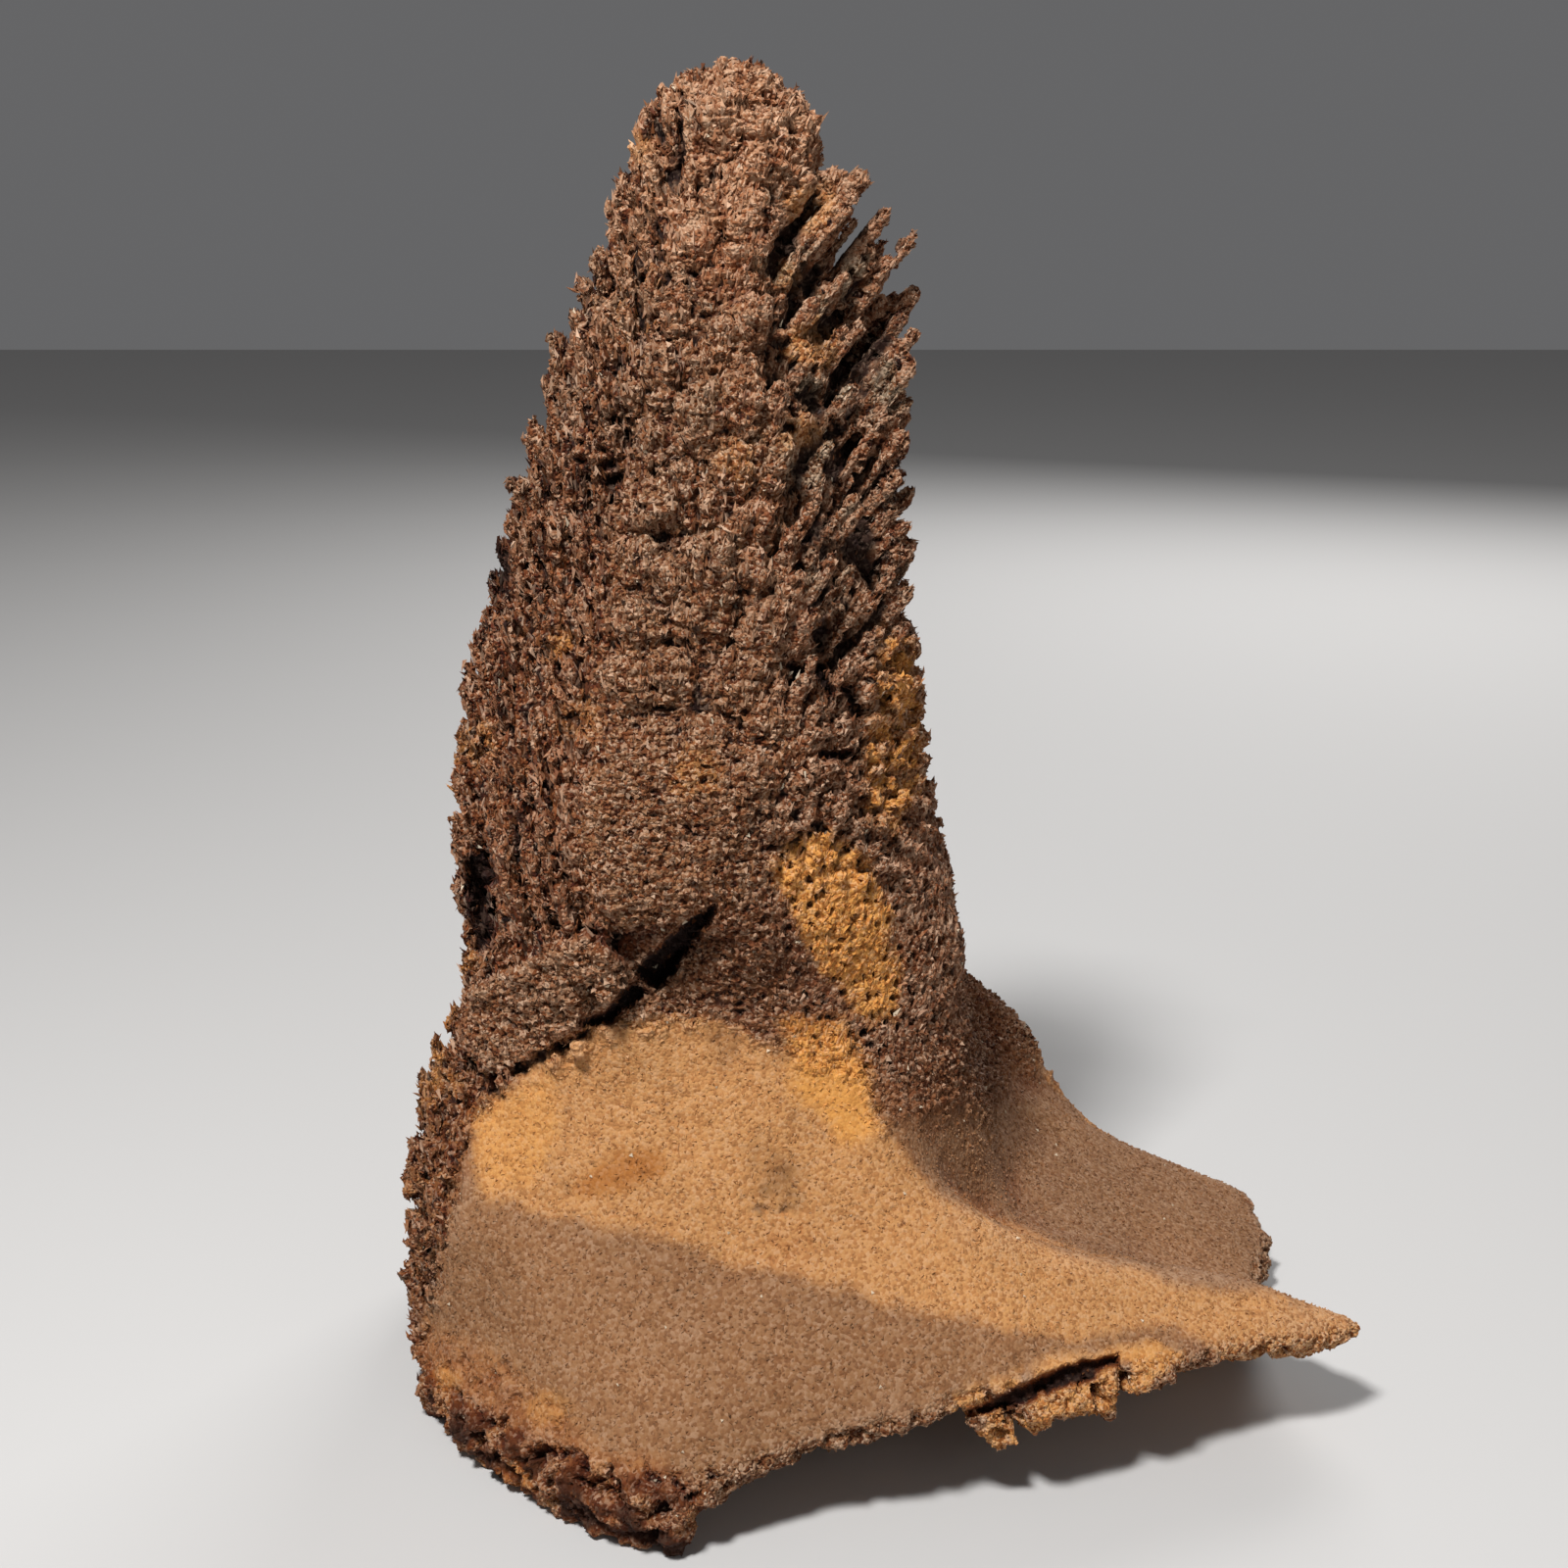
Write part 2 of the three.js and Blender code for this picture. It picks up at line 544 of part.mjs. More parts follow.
// ---- Joining ----------------------------------------------------------------------------------------

const wasm = await Module();
wasm.setup();

// The solid inside a closed surface.
function solidOf(geometry) {
  const bare = geometry.clone();
  bare.deleteAttribute("normal");
  bare.deleteAttribute("uv");
  const merged = mergeVertices(bare, 1e-4);
  return new wasm.Manifold(
    new wasm.Mesh({
      numProp: 3,
      vertProperties: new Float32Array(merged.getAttribute("position").array),
      triVerts: new Uint32Array(merged.index.array),
    }),
  );
}

let stone = solidOf(bodyGeometry());
const bars = [...scales, ...BAR_FIELDS.flatMap(barsOfField), ...freeBars];
for (const bar of bars) stone = stone.add(solidOf(bar));
for (const lump of LUMPS) stone = stone.add(solidOf(lumpGeometry(lump)));
for (const hole of HOLES) stone = stone.subtract(solidOf(lumpGeometry(hole)));

// Gaps that the bars close off inside are filled, so that only the outer body is left.
const body = stone.decompose().reduce((a, b) => (a.volume() > b.volume() ? a : b));

const { vertProperties, triVerts } = body.getMesh();
const geometry = new THREE.BufferGeometry();
geometry.setAttribute("position", new THREE.BufferAttribute(new Float32Array(vertProperties), 3));
geometry.setIndex(new THREE.BufferAttribute(new Uint32Array(triVerts), 1));

// The origin goes to the middle of the base, on the surface it stands on.
geometry.computeBoundingBox();
const middle = geometry.boundingBox.getCenter(new THREE.Vector3());
geometry.translate(-middle.x, -middle.y, -geometry.boundingBox.min.z);
geometry.computeVertexNormals();

const ironstone = new THREE.MeshStandardMaterial({ color: 0x7a5843, roughness: 0.95, metalness: 0 });
const concretion = new THREE.Mesh(geometry, ironstone);
concretion.name = "concretion";

const group = new THREE.Group();
group.name = "iron_concretion";
group.add(concretion);

export default group;
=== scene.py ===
"""The iron concretion's looks: a body with scales, fibre grooves, rods and pits, and sand grains on it.

The body starts from the CAD solid, gets more rods and columns on its flanks, and is remeshed and displaced.
The grains are joined meshes that sit on the body. All lengths in this script are millimetres in the trunk's
own axes, which stand MIDDLE away from the frame's; they become metres only in the finished meshes.
"""

import math
from types import SimpleNamespace

import bpy
import numpy as np
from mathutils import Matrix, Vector, kdtree


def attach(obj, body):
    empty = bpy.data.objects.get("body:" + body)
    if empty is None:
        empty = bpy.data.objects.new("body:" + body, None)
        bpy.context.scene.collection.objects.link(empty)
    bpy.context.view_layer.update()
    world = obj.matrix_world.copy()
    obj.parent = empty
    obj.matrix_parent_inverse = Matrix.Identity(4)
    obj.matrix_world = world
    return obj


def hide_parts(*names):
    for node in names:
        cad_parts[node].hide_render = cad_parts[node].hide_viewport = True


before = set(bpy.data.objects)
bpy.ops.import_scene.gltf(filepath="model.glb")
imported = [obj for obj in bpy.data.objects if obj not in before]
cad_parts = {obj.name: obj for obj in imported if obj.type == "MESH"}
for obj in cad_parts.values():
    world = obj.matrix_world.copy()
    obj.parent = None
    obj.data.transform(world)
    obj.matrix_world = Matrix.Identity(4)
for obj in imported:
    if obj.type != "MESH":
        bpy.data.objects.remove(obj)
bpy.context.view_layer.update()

NODE = "concretion"
MIDDLE = np.array([-21.1, 8.0, 0.0])  # from the trunk's axes to the frame's, in mm
AXIS = np.array([-12.0, 0.0])  # the foot's centre in the trunk's axes
TOP = 300.0
CORE_VOXEL = 1.1  # mm
VOXEL = 0.74  # mm
BODY_NAMES = ["foot", "waist", "crown"]
BODY_TRIANGLES = 196_000  # each
GRAIN_NAMES = ["foot", "crown"]
GRAINS_A_PIECE = 49_000
SEED = 5

# ---- Numbers that vary in space ----

# The last number of a call of noise is its seed. Uses that shouldn't agree have different seeds.

rng = np.random.default_rng(SEED)
_perm = rng.permutation(256)
_gradients = rng.normal(size=(256, 3))
_gradients = (_gradients / np.linalg.norm(_gradients, axis=1, keepdims=True)).T.copy()
_jitter = rng.random((256, 3)).T.copy()
BLOCK = 16384  # points


def in_blocks(work):
    """The same work, in blocks of points that fit the processor's cache."""

    def whole(points, *rest):
        starts = range(0, len(points), BLOCK)
        return np.concatenate([work(points[start : start + BLOCK], *rest) for start in starts])

    return whole


def lattice(points, wave, shift):
    """Each point's cell in a lattice of that wavelength, and its place in the cell."""
    p = np.ascontiguousarray((points / wave + shift).T)
    cell = np.floor(p)
    return cell.astype(np.int64), p - cell


def corners_of(cell, seed, steps):
    """Each offset of these steps from the cells, with the random numbers of the cells there."""
    for i in steps:
        column = _perm[(cell[0] + i + seed) & 255]
        for j in steps:
            row = _perm[(column + cell[1] + j) & 255]
            for k in steps:
                yield (i, j, k), _perm[(row + cell[2] + k) & 255]


@in_blocks
def noise(points, wave, seed=0):
    """Gradient noise of that wavelength, about -1 to 1."""
    cell, f = lattice(points, wave, seed * 17.31)
    u = f * f * f * (f * (f * 6 - 15) + 10)
    share = (1 - u, u)
    total = np.zeros(len(points))
    for (i, j, k), random in corners_of(cell, seed, (0, 1)):
        gx, gy, gz = _gradients[:, random]
        slope = gx * (f[0] - i) + gy * (f[1] - j) + gz * (f[2] - k)
        total += share[i][0] * share[j][1] * share[k][2] * slope
    return total * 1.6


def layered(points, wave, octaves=3, seed=0):
    """Noise with finer and fainter noise on top."""
    return sum(noise(points, wave / 2**i, seed + i) / 1.8**i for i in range(octaves))


@in_blocks
def cell_distance(points, wave, seed=0):
    """Distance to the nearest of scattered centres, as a share of the wavelength."""
    cell, f = lattice(points, wave, seed * 9.7)
    nearest = np.full(len(points), 9.0)
    for (i, j, k), random in corners_of(cell, seed, (-1, 0, 1)):
        dx, dy, dz = _jitter[:, random]
        apart = (f[0] - i - dx) ** 2 + (f[1] - j - dy) ** 2 + (f[2] - k - dz) ** 2
        nearest = np.minimum(nearest, apart)
    return np.sqrt(nearest)


def wander(points, wave, reach, seeds):
    """Offsets of up to that reach, one column for each seed, that vary over that wavelength."""
    return reach * np.stack([noise(points, wave, seed) for seed in seeds], axis=1)


def smooth(x, low, high):
    """An S-shaped rise from 0 at the low value to 1 at the high one."""
    t = np.clip((x - low) / (high - low), 0, 1)
    return t * t * (3 - 2 * t)


def unit(v):
    return v / np.maximum(np.linalg.norm(v, axis=1, keepdims=True), 1e-9)


# ---- Places on the stone ----

TRUNK_HEIGHTS = [0, 100, 125, 150, 180, 210, 238, 258, 272, 288, 299]
TRUNK_MIDDLES = [-14, -16, -19, -20, -18.5, -17, -16, -14, -13, -12, -11]
TRUNK_HALVES = [60, 58, 56.5, 54, 49, 42, 35, 29, 24, 19, 9]
TRUNK_DEPTHS = [46, 44, 44, 42, 37, 31.5, 25, 21, 17, 12, 6]

# The fibres' lean to the right, across the trunk from its left side, -1, to its right, 1.
LEAN_PLACES = [-1.3, -0.6, 0, 0.4, 0.8, 1.3]
LEANS = [-0.26, -0.16, 0.0, 0.34, 0.72, 0.85]

# The height up to which the foot is smooth sand, by azimuth round its centre (0 is +X, -90 the front).
SANDY_AZIMUTHS = [-180, -160, -146, -135, -115, -95, -75, -55, -40, -28, -16, 0, 20, 35, 60, 90, 130, 155,
                  180]
SANDY_HEIGHTS = [-20, -20, 30, 62, 88, 98, 92, 84, 80, 76, 68, 60, 56, 52, 60, 60, 50, -10, -20]

# The smooth sand's outline on the upper left, in the front view.
SANDY_FRONT = [(430, 1345), (446, 1300), (464, 1205), (484, 1150), (520, 1100), (585, 1060), (613, 1044),
               (680, 1038), (760, 1050), (800, 1078), (880, 1100), (905, 1150), (905, 1300), (700, 1490),
               (600, 1470), (500, 1430), (440, 1390)]

# The broken edge of the foot, by azimuth: how far out it stands and how high.
RIM_AZIMUTHS = [-180, -155, -130, -110, -97, -92, -78, -57, -42, -34, -24, -16, -8, 0, 10, 21, 29, 37, 50, 68,
                90, 120, 150, 180]
RIM_REACHES = [78, 82, 85, 91, 95, 92, 87, 92, 104, 114, 131, 151, 131, 130, 140, 148, 121, 102, 95, 84, 78,
               79, 79, 78]
RIM_TOPS = [16, 17, 18, 18, 19, 20, 24, 29, 30, 30, 29, 27, 18, 13, 12, 13, 21, 51, 52, 28, 15, 14, 15, 16]

# The front view: its eye and pitch, and its focal length and side in steps. Outlines in it are in steps too.
EYE = np.array([0.0, -481.0, 280.2])
PITCH = math.radians(16)
FOCAL, SHEET = 2200.0, 1600.0


def azimuth_of(p):
    return np.degrees(np.arctan2(p[:, 1] - AXIS[1], p[:, 0] - AXIS[0]))


def turned_from(azimuth, p):
    """Degrees between that azimuth and each point's, 0 to 180."""
    return np.abs((azimuth_of(p) - azimuth + 180) % 360 - 180)


def trunk_at(p):
    """The trunk's middle, half width and half depth at these heights."""
    return [np.interp(p[:, 2], TRUNK_HEIGHTS, form) for form in (TRUNK_MIDDLES, TRUNK_HALVES, TRUNK_DEPTHS)]


def across_trunk(p):
    """Places across the trunk: -1 at its left side, 1 at its right."""
    middle, half, _ = trunk_at(p)
    return (p[:, 0] - middle) / half


def out_of_trunk(p):
    """The way out of the trunk's plain form, a little upwards."""
    middle, half, depth = trunk_at(p)
    out = unit(np.stack([(p[:, 0] - middle) / half**2, p[:, 1] / depth**2, np.zeros(len(p))], axis=1))
    out[:, 2] = 0.15
    return unit(out)


def fibres(p):
    """The way the fibres run at these places: up, and fanned to the sides."""
    lean = np.interp(across_trunk(p), LEAN_PLACES, LEANS)
    return unit(np.stack([lean, 0.06 * np.sin(np.radians(azimuth_of(p))), np.ones(len(p))], axis=1))


def along_surface(direction, normals):
    return unit(direction - normals * np.einsum("ij,ij->i", direction, normals)[:, None])


def front_place(p):
    """Where a point is in the front view, in steps from its top left."""
    c, s = math.cos(PITCH), math.sin(PITCH)
    y, z = p[:, 1] - EYE[1], p[:, 2] - EYE[2]
    depth = y * c - z * s
    sheet = np.stack([p[:, 0], -(y * s + z * c)], axis=1)
    return SHEET / 2 + FOCAL * sheet / depth[:, None]


def near_half(points):
    """1 in the half that is nearer to the front view, 0 at the back."""
    return 1 - smooth(points[:, 1], 40, 62)


def faces_front(points, normals):
    """1 on what the front view sees, 0 on the back."""
    toward = unit(EYE - points)
    return smooth(np.einsum("ij,ij->i", toward, normals), -0.45, -0.1) * near_half(points)


def inside(places, outline, soft):
    """1 inside an outline on the front view, 0 outside, and in between over the soft width."""
    corners = np.array(outline, float)
    low, high = corners.min(axis=0) - soft, corners.max(axis=0) + soft
    near = np.flatnonzero(np.all((places > low) & (places < high), axis=1))
    spots = places[near]
    distance = np.full(len(near), 1e9)
    odd = np.zeros(len(near), bool)
    for a, b in zip(corners, np.roll(corners, -1, axis=0)):
        along = b - a
        t = np.clip(((spots - a) @ along) / (along @ along), 0, 1)
        distance = np.minimum(distance, np.linalg.norm(spots - a - t[:, None] * along, axis=1))
        crosses = (a[1] > spots[:, 1]) != (b[1] > spots[:, 1])
        x = a[0] + (spots[:, 1] - a[1]) * along[0] / (along[1] or 1e-9)
        odd ^= crosses & (spots[:, 0] < x)
    share = np.zeros(len(places))
    share[near] = smooth(np.where(odd, distance, -distance), -soft, soft)
    return share


def sandiness(p):
    """1 on the smooth sand of the foot, 0 on the trunk and the ragged left side."""
    top = np.interp(azimuth_of(p), SANDY_AZIMUTHS, SANDY_HEIGHTS)
    low = 1 - smooth(p[:, 2] - top + 6 * layered(p, 18, 2, 3), -7, 9)
    wavy = front_place(p) + wander(p, 9, 12, (4, 5)) + wander(p, 3, 6, (13, 14))
    return np.maximum(low, inside(wavy, SANDY_FRONT, 9) * (p[:, 1] < 0))


def rodded(p):
    """1 on the upper right flank, where the rods stand with gaps between them."""
    edge = across_trunk(p) + 0.12 * noise(p, 20, 6)
    right = smooth(edge, 0.26, 0.5) * (1 - smooth(turned_from(-25, p), 66, 84))
    return right * smooth(p[:, 2], 166, 186) * (1 - smooth(p[:, 2], 272, 282))


def porous(p):
    """1 on the lower right flank, which is full of pits."""
    edge = across_trunk(p) + 0.15 * noise(p, 22, 7)
    low = smooth(p[:, 2] + 8 * noise(p, 12, 11), 76, 102) * (1 - smooth(p[:, 2], 172, 190))
    right = smooth(edge, 0.22, 0.5) * (1 - smooth(turned_from(-20, p), 75, 100))
    return right * low * (1 - sandiness(p))


def stubbed(p):
    """1 on the upper part of the pitted flank, where short stubs lean to the right."""
    return porous(p) * smooth(p[:, 2] + 6 * noise(p, 14, 10), 122, 140)


def columned(p):
    """1 on the left flank and the ragged left side of the foot, where the fibres make narrow columns."""
    edge = -across_trunk(p) + 0.14 * noise(p, 18, 8) + 0.45 * smooth(p[:, 1], 5, 25) * layered(p, 34, 2, 12)
    plate = near_half(p) * inside(front_place(p), PLATE, 7)
    return smooth(edge, 0.28, 0.52) * (1 - sandiness(p)) * (1 - plate)


def knobbed(p):
    """1 on the upper front and back, where the fibres end in broad knobs."""
    sides = np.clip(rodded(p) + porous(p) + columned(p), 0, 1)
    return (1 - sides) * smooth(p[:, 2] + 24 * noise(p, 38, 9), 140, 205)


def ragged_edge(p):
    """1 on the broken edge of the foot."""
    radius = np.hypot(p[:, 0] - AXIS[0], p[:, 1] - AXIS[1])
    rim = np.interp(azimuth_of(p), RIM_AZIMUTHS, RIM_REACHES)
    top = np.interp(azimuth_of(p), RIM_AZIMUTHS, RIM_TOPS)
    return smooth(radius, rim - 9, rim - 3) * (1 - smooth(p[:, 2], top - 3, top + 2))


def raised_edge(p):
    """1 where the foot's thin front edge stands clear of the ground, apart from its hanging shards."""
    azimuth = azimuth_of(p)
    clear = smooth(azimuth, -95, -88) * (1 - smooth(azimuth, -12, -6))
    shards = smooth(p[:, 0], 36, 44) * (1 - smooth(p[:, 0], 76, 84))
    return clear * (1 - shards)


def underside(p, normals):
    """1 on the hollow's roof and the flat base."""
    return smooth(-normals[:, 2], 0.4, 0.8) * (1 - smooth(p[:, 2], 34, 44)) * (1 - ragged_edge(p))


# ---- Meshes as arrays ----


def to_own_axes(metres):
    return metres * 1000 - MIDDLE


def to_metres(own):
    return (own + MIDDLE) / 1000


def read(items, key, kind, width=3):
    """One value of all of a mesh's items, a row for each item."""
    values = np.zeros(len(items) * width, kind)
    items.foreach_get(key, values)
    return values.reshape(-1, width)


def mesh_arrays(mesh):
    """Vertices in own millimetres, normals, triangles and edges."""
    mesh.calc_loop_triangles()
    points = to_own_axes(read(mesh.vertices, "co", np.float32).astype(float))
    normals = read(mesh.vertices, "normal", np.float32).astype(float)
    triangles = read(mesh.loop_triangles, "vertices", np.int32)
    return points, normals, triangles, read(mesh.edges, "vertices", np.int32, 2)


def set_points(mesh, points):
    mesh.vertices.foreach_set("co", to_metres(points).astype(np.float32).ravel())
    mesh.update()


def added(name, data):
    thing = bpy.data.objects.new(name, data)
    bpy.context.scene.collection.objects.link(thing)
    return thing


def new_object(name, points, triangles):
    """A new mesh object from own-millimetre points and triangles."""
    mesh = bpy.data.meshes.new(name)
    mesh.vertices.add(len(points))
    mesh.loops.add(triangles.size)
    mesh.loops.foreach_set("vertex_index", triangles.astype(np.int32).ravel())
    mesh.polygons.add(len(triangles))
    mesh.polygons.foreach_set("loop_start", np.arange(0, triangles.size, 3, dtype=np.int32))
    set_points(mesh, points)
    mesh.update(calc_edges=True)
    return added(name, mesh)


def finished(name, points, triangles, values, material):
    """A flat-shaded mesh object with its stored values and its material."""
    piece = new_object(name, points, triangles)
    for key, value in values.items():
        layer = piece.data.attributes.new(key, "FLOAT_COLOR", "POINT")
        layer.data.foreach_set("color", value.astype(np.float32).ravel())
    piece.data.shade_flat()
    piece.data.materials.append(material)
    return piece


def joined(sets):
    """Several sets of points and triangles as one."""
    starts = np.cumsum([0] + [len(points) for points, _ in sets])
    return (
        np.concatenate([points for points, _ in sets]),
        np.concatenate([triangles + start for (_, triangles), start in zip(sets, starts)]),
    )


def apply_modifier(thing, kind, **settings):
    modifier = thing.modifiers.new(kind.lower(), kind)
    for key, value in settings.items():
        setattr(modifier, key, value)
    bpy.context.view_layer.objects.active = thing
    bpy.ops.object.modifier_apply(modifier=modifier.name)


def face_normals(points, triangles):
    """Each triangle's normal, as long as twice its area."""
    a, b, c = (points[triangles[:, i]] for i in range(3))
    return np.cross(b - a, c - a)


def summed(numbers, values, count):
    """For each number, the sum of the values that have it."""
    return np.stack([np.bincount(numbers, weights=column, minlength=count) for column in values.T], axis=1)


def vertex_normals(points, triangles):
    face = face_normals(points, triangles)
    return unit(sum(summed(triangles[:, i], face, len(points)) for i in range(3)))


def relaxed(points, edges, strength, rounds):
    """Points moved towards the mean of their neighbours, by one strength or each by its own."""
    total = len(points)
    count = np.maximum(np.bincount(edges.ravel(), minlength=total), 1)
    start, end = edges.T
    for _ in range(rounds):
        around = summed(start, points[end], total) + summed(end, points[start], total)
        points = points + np.reshape(strength, (-1, 1)) * (around / count[:, None] - points)
    return points


def parted(names, heights):
    """Each name with the numbers of its share of the items, from the lowest up."""
    return zip(names, np.array_split(np.argsort(heights, kind="stable"), len(names)))


def scattered(points, triangles, count, weight, chance):
    """Places spread evenly over the triangles, as triangle numbers and shares of their corners."""
    area = np.linalg.norm(face_normals(points, triangles), axis=1) * weight
    chosen = chance.choice(len(triangles), size=count, p=area / area.sum())
    r = np.sqrt(chance.random(count))
    s = chance.random(count)
    return chosen, np.stack([1 - r, r * (1 - s), r * s], axis=1)


def at_places(values, triangles, chosen, shares):
    return np.einsum("ij,ijk->ik", shares, values[triangles[chosen]])


# ---- Fingers: the rods, columns, stubs and knobs that the fibres end in ----

FINGER_SIDES = 8
FINGER_RINGS = [(0.18, 0.5), (0.6, 0.85), (1.6, 1.0)]  # below the tip in half widths, and share of full width
FINGER_ROOT = 0.85

# Mask, sinking of the skin between them, gap across and along the fibres, half width, thickness to width,
# length, how far the tip stands proud, and tilt outwards. Lengths are in mm.
RODS = (rodded, 6.4, (6.0, 9.0), (1.5, 2.2), 1.0, (16, 28), (0.5, 4.5), 0.05)
STUBS = (stubbed, 2.4, (3.2, 4.6), (1.1, 1.7), 1.0, (7, 11), (0.2, 1.4), 0.22)
COLUMNS = (columned, 3.8, (3.7, 11.0), (1.2, 1.8), 1.3, (16, 30), (0.2, 2.4), 0.08)
KNOBS = (knobbed, 1.8, (7.5, 9.0), (3.4, 7.0), 0.62, (12, 18), (1.0, 3.8), 0.22)
KINDS = (RODS, STUBS, COLUMNS, KNOBS)
FREE_RODS = [(12.5, -6, 280), (17.5, -10, 279), (22.5, -6, 271.5), (28.5, -4, 267), (29.5, 2, 255),
             (29, -12, 247)]
ROD_WAY = (0.62, -0.08, 0.78)

# Rows of rods down the right flank, behind each other: the depth and the top of each.
ROD_ROWS = [(-14, 243), (-8, 250), (-2, 248.5), (6, 252), (12, 250)]
ROD_ROW_X, ROD_ROW_GAP, ROD_ROW_END = 27.8, 9.0, 190  # mm

# How far the fingers may reach to the left and the right in the front view, by row.
EDGE_ROWS = [70, 120, 160, 200, 240, 280, 320, 400, 480, 560, 640, 720, 800, 880, 925, 960, 1000, 1040, 1080,
             1120, 1200, 1300, 1400, 1440, 1480]
LEFT_EDGE = [678, 652, 636, 619, 602, 584, 568, 539, 515, 506, 480, 466, 463, 459, 468, 476, 468, 445, 431,
             426, 411, 418, 426, 443, 476]
RIGHT_EDGE = [800, 833, 843, 899, 936, 938, 940, 939, 938, 938, 940, 946, 956, 973, 978, 995, 1018, 1051,
              1064]
RIGHT_EDGE += [SHEET] * (len(EDGE_ROWS) - len(RIGHT_EDGE))  # no limit on the right of the foot
MM_A_STEP = 0.216  # at the trunk
CROWN_TIPS = [(-28, -4, 292), (-25, -6, 297), (-20, -6, 299.5), (-16, -8, 300), (-10, -6, 301), (-6, -7, 300),
              (-3, -5, 297.5), (0, -5, 294), (3, -4, 289), (-22, 4, 297), (-15, 5, 300), (-8, 5, 299),
              (-2, 4, 295)]

# Half widths and length of the fingers with set places, in mm.
FREE_ROD_SIZE = (1.9, 2.6), 34
ROD_ROW_SIZE = (1.4, 2.1), 30
CROWN_TIP_SIZE = (3.0, 4.2), 16


def finger_mesh(tips, along, out, half_widths, thickness, lengths, chance):
    """Tapered fingers with rounded tips, as one set of points and triangles."""
    count = len(tips)
    side = unit(np.cross(along, out))
    face = np.cross(side, along)
    levels = [(down * half_widths, size) for down, size in FINGER_RINGS] + [(lengths, FINGER_ROOT)]
    points = [tips]
    for drop, size in levels:
        middle = tips - along * drop[:, None]
        for k in range(FINGER_SIDES):
            angle = 2 * math.pi * k / FINGER_SIDES
            reach = half_widths * size * chance.uniform(0.84, 1.12, count)
            across = math.cos(angle) * side + thickness * math.sin(angle) * face
            points.append(middle + reach[:, None] * across)
    points.append(tips - along * (lengths + half_widths)[:, None])
    each = np.stack(points, axis=1)
    last = each.shape[1] - 1
    faces = []
    root = last - FINGER_SIDES
    for k in range(FINGER_SIDES):
        n = (k + 1) % FINGER_SIDES
        faces.append((0, 1 + k, 1 + n))
        for a in range(1, root, FINGER_SIDES):
            b = a + FINGER_SIDES
            faces += [(a + k, b + k, a + n), (a + n, b + k, b + n)]
        faces.append((root + k, last, root + n))
    triangles = np.array(faces)[None] + (np.arange(count) * each.shape[1])[:, None, None]
    return each.reshape(-1, 3), triangles.reshape(-1, 3)


def spread_out(places, side, along, out, gaps, chance):
    """The numbers of the places that keep their gaps from those kept before."""
    kept, spots = [], np.empty_like(places)
    for i in chance.permutation(len(places)):
        apart = spots[: len(kept)] - places[i]
        across, down = apart @ side[i] / gaps[0], apart @ along[i] / gaps[1]
        off = apart @ out[i] / gaps[0] / 2
        if len(kept) and (across**2 + down**2 + off**2).min() < 1:
            continue
        spots[len(kept)] = places[i]
        kept.append(i)
    return np.array(kept)


def fingers(core, triangles, kind, chance):
    """Fingers of one kind on the core, within their mask."""
    mask, _, gaps, half_widths, thickness, lengths, proud, tilt = kind
    weight = mask(core)[triangles].mean(axis=1)
    area = np.linalg.norm(face_normals(core, triangles), axis=1) / 2
    tries = int((area * weight).sum() / gaps[0] / gaps[1] * 9)
    chosen, shares = scattered(core, triangles, tries, weight**3, chance)
    place = at_places(core, triangles, chosen, shares)
    out = out_of_trunk(place)
    along = unit(fibres(place) + out * tilt + 0.06 * chance.normal(size=place.shape))
    kept = spread_out(place, unit(np.cross(along, out)), along, out, gaps, chance)
    place, out, along = place[kept], out[kept], along[kept]
    count = len(kept)
    tips = place + out * (chance.uniform(*proud, count) * mask(place))[:, None]
    tips[:, 2] = np.minimum(tips[:, 2], TOP - 1)
    widths = chance.uniform(*half_widths, count)
    seen = front_place(tips)
    beyond = (seen[:, 0] - np.interp(seen[:, 1], EDGE_ROWS, RIGHT_EDGE)) * MM_A_STEP + widths / 2
    tips -= along * (np.maximum(beyond, 0) / np.maximum(along[:, 0], 0.4))[:, None]
    beyond = (np.interp(seen[:, 1], EDGE_ROWS, LEFT_EDGE) - seen[:, 0]) * MM_A_STEP + widths / 2
    tips[:, 0] += np.maximum(beyond, 0)
    reach = chance.uniform(*lengths, count)
    reach = reach * (1 - 0.8 * sandiness(tips - along * reach[:, None]))
    return finger_mesh(tips, along, out, widths, thickness, reach, chance)


def placed_fingers(tips, way, half_widths, length, chance):
    """Fingers with their tips at set places."""
    tips = np.array(tips, float)
    along = unit(np.tile(way, (len(tips), 1)) + 0.05 * chance.normal(size=tips.shape))
    out = np.tile((0.0, -1.0, 0.0), (len(tips), 1))
    widths = chance.uniform(*half_widths, len(tips))
    return finger_mesh(tips, along, out, widths, 0.9, np.full(len(tips), float(length)), chance)


def rod_row_tips(chance):
    """Tips of the rows of rods down the right flank, each a little off its place."""
    tips = []
    for y, top in ROD_ROWS:
        tips += [(ROD_ROW_X, y, z) for z in np.arange(top, ROD_ROW_END, -ROD_ROW_GAP)]
    return np.array(tips) + chance.uniform((-2.6, -1.5, -2.4), (0.6, 1.5, 2.4), (len(tips), 3))


# ---- The body ----

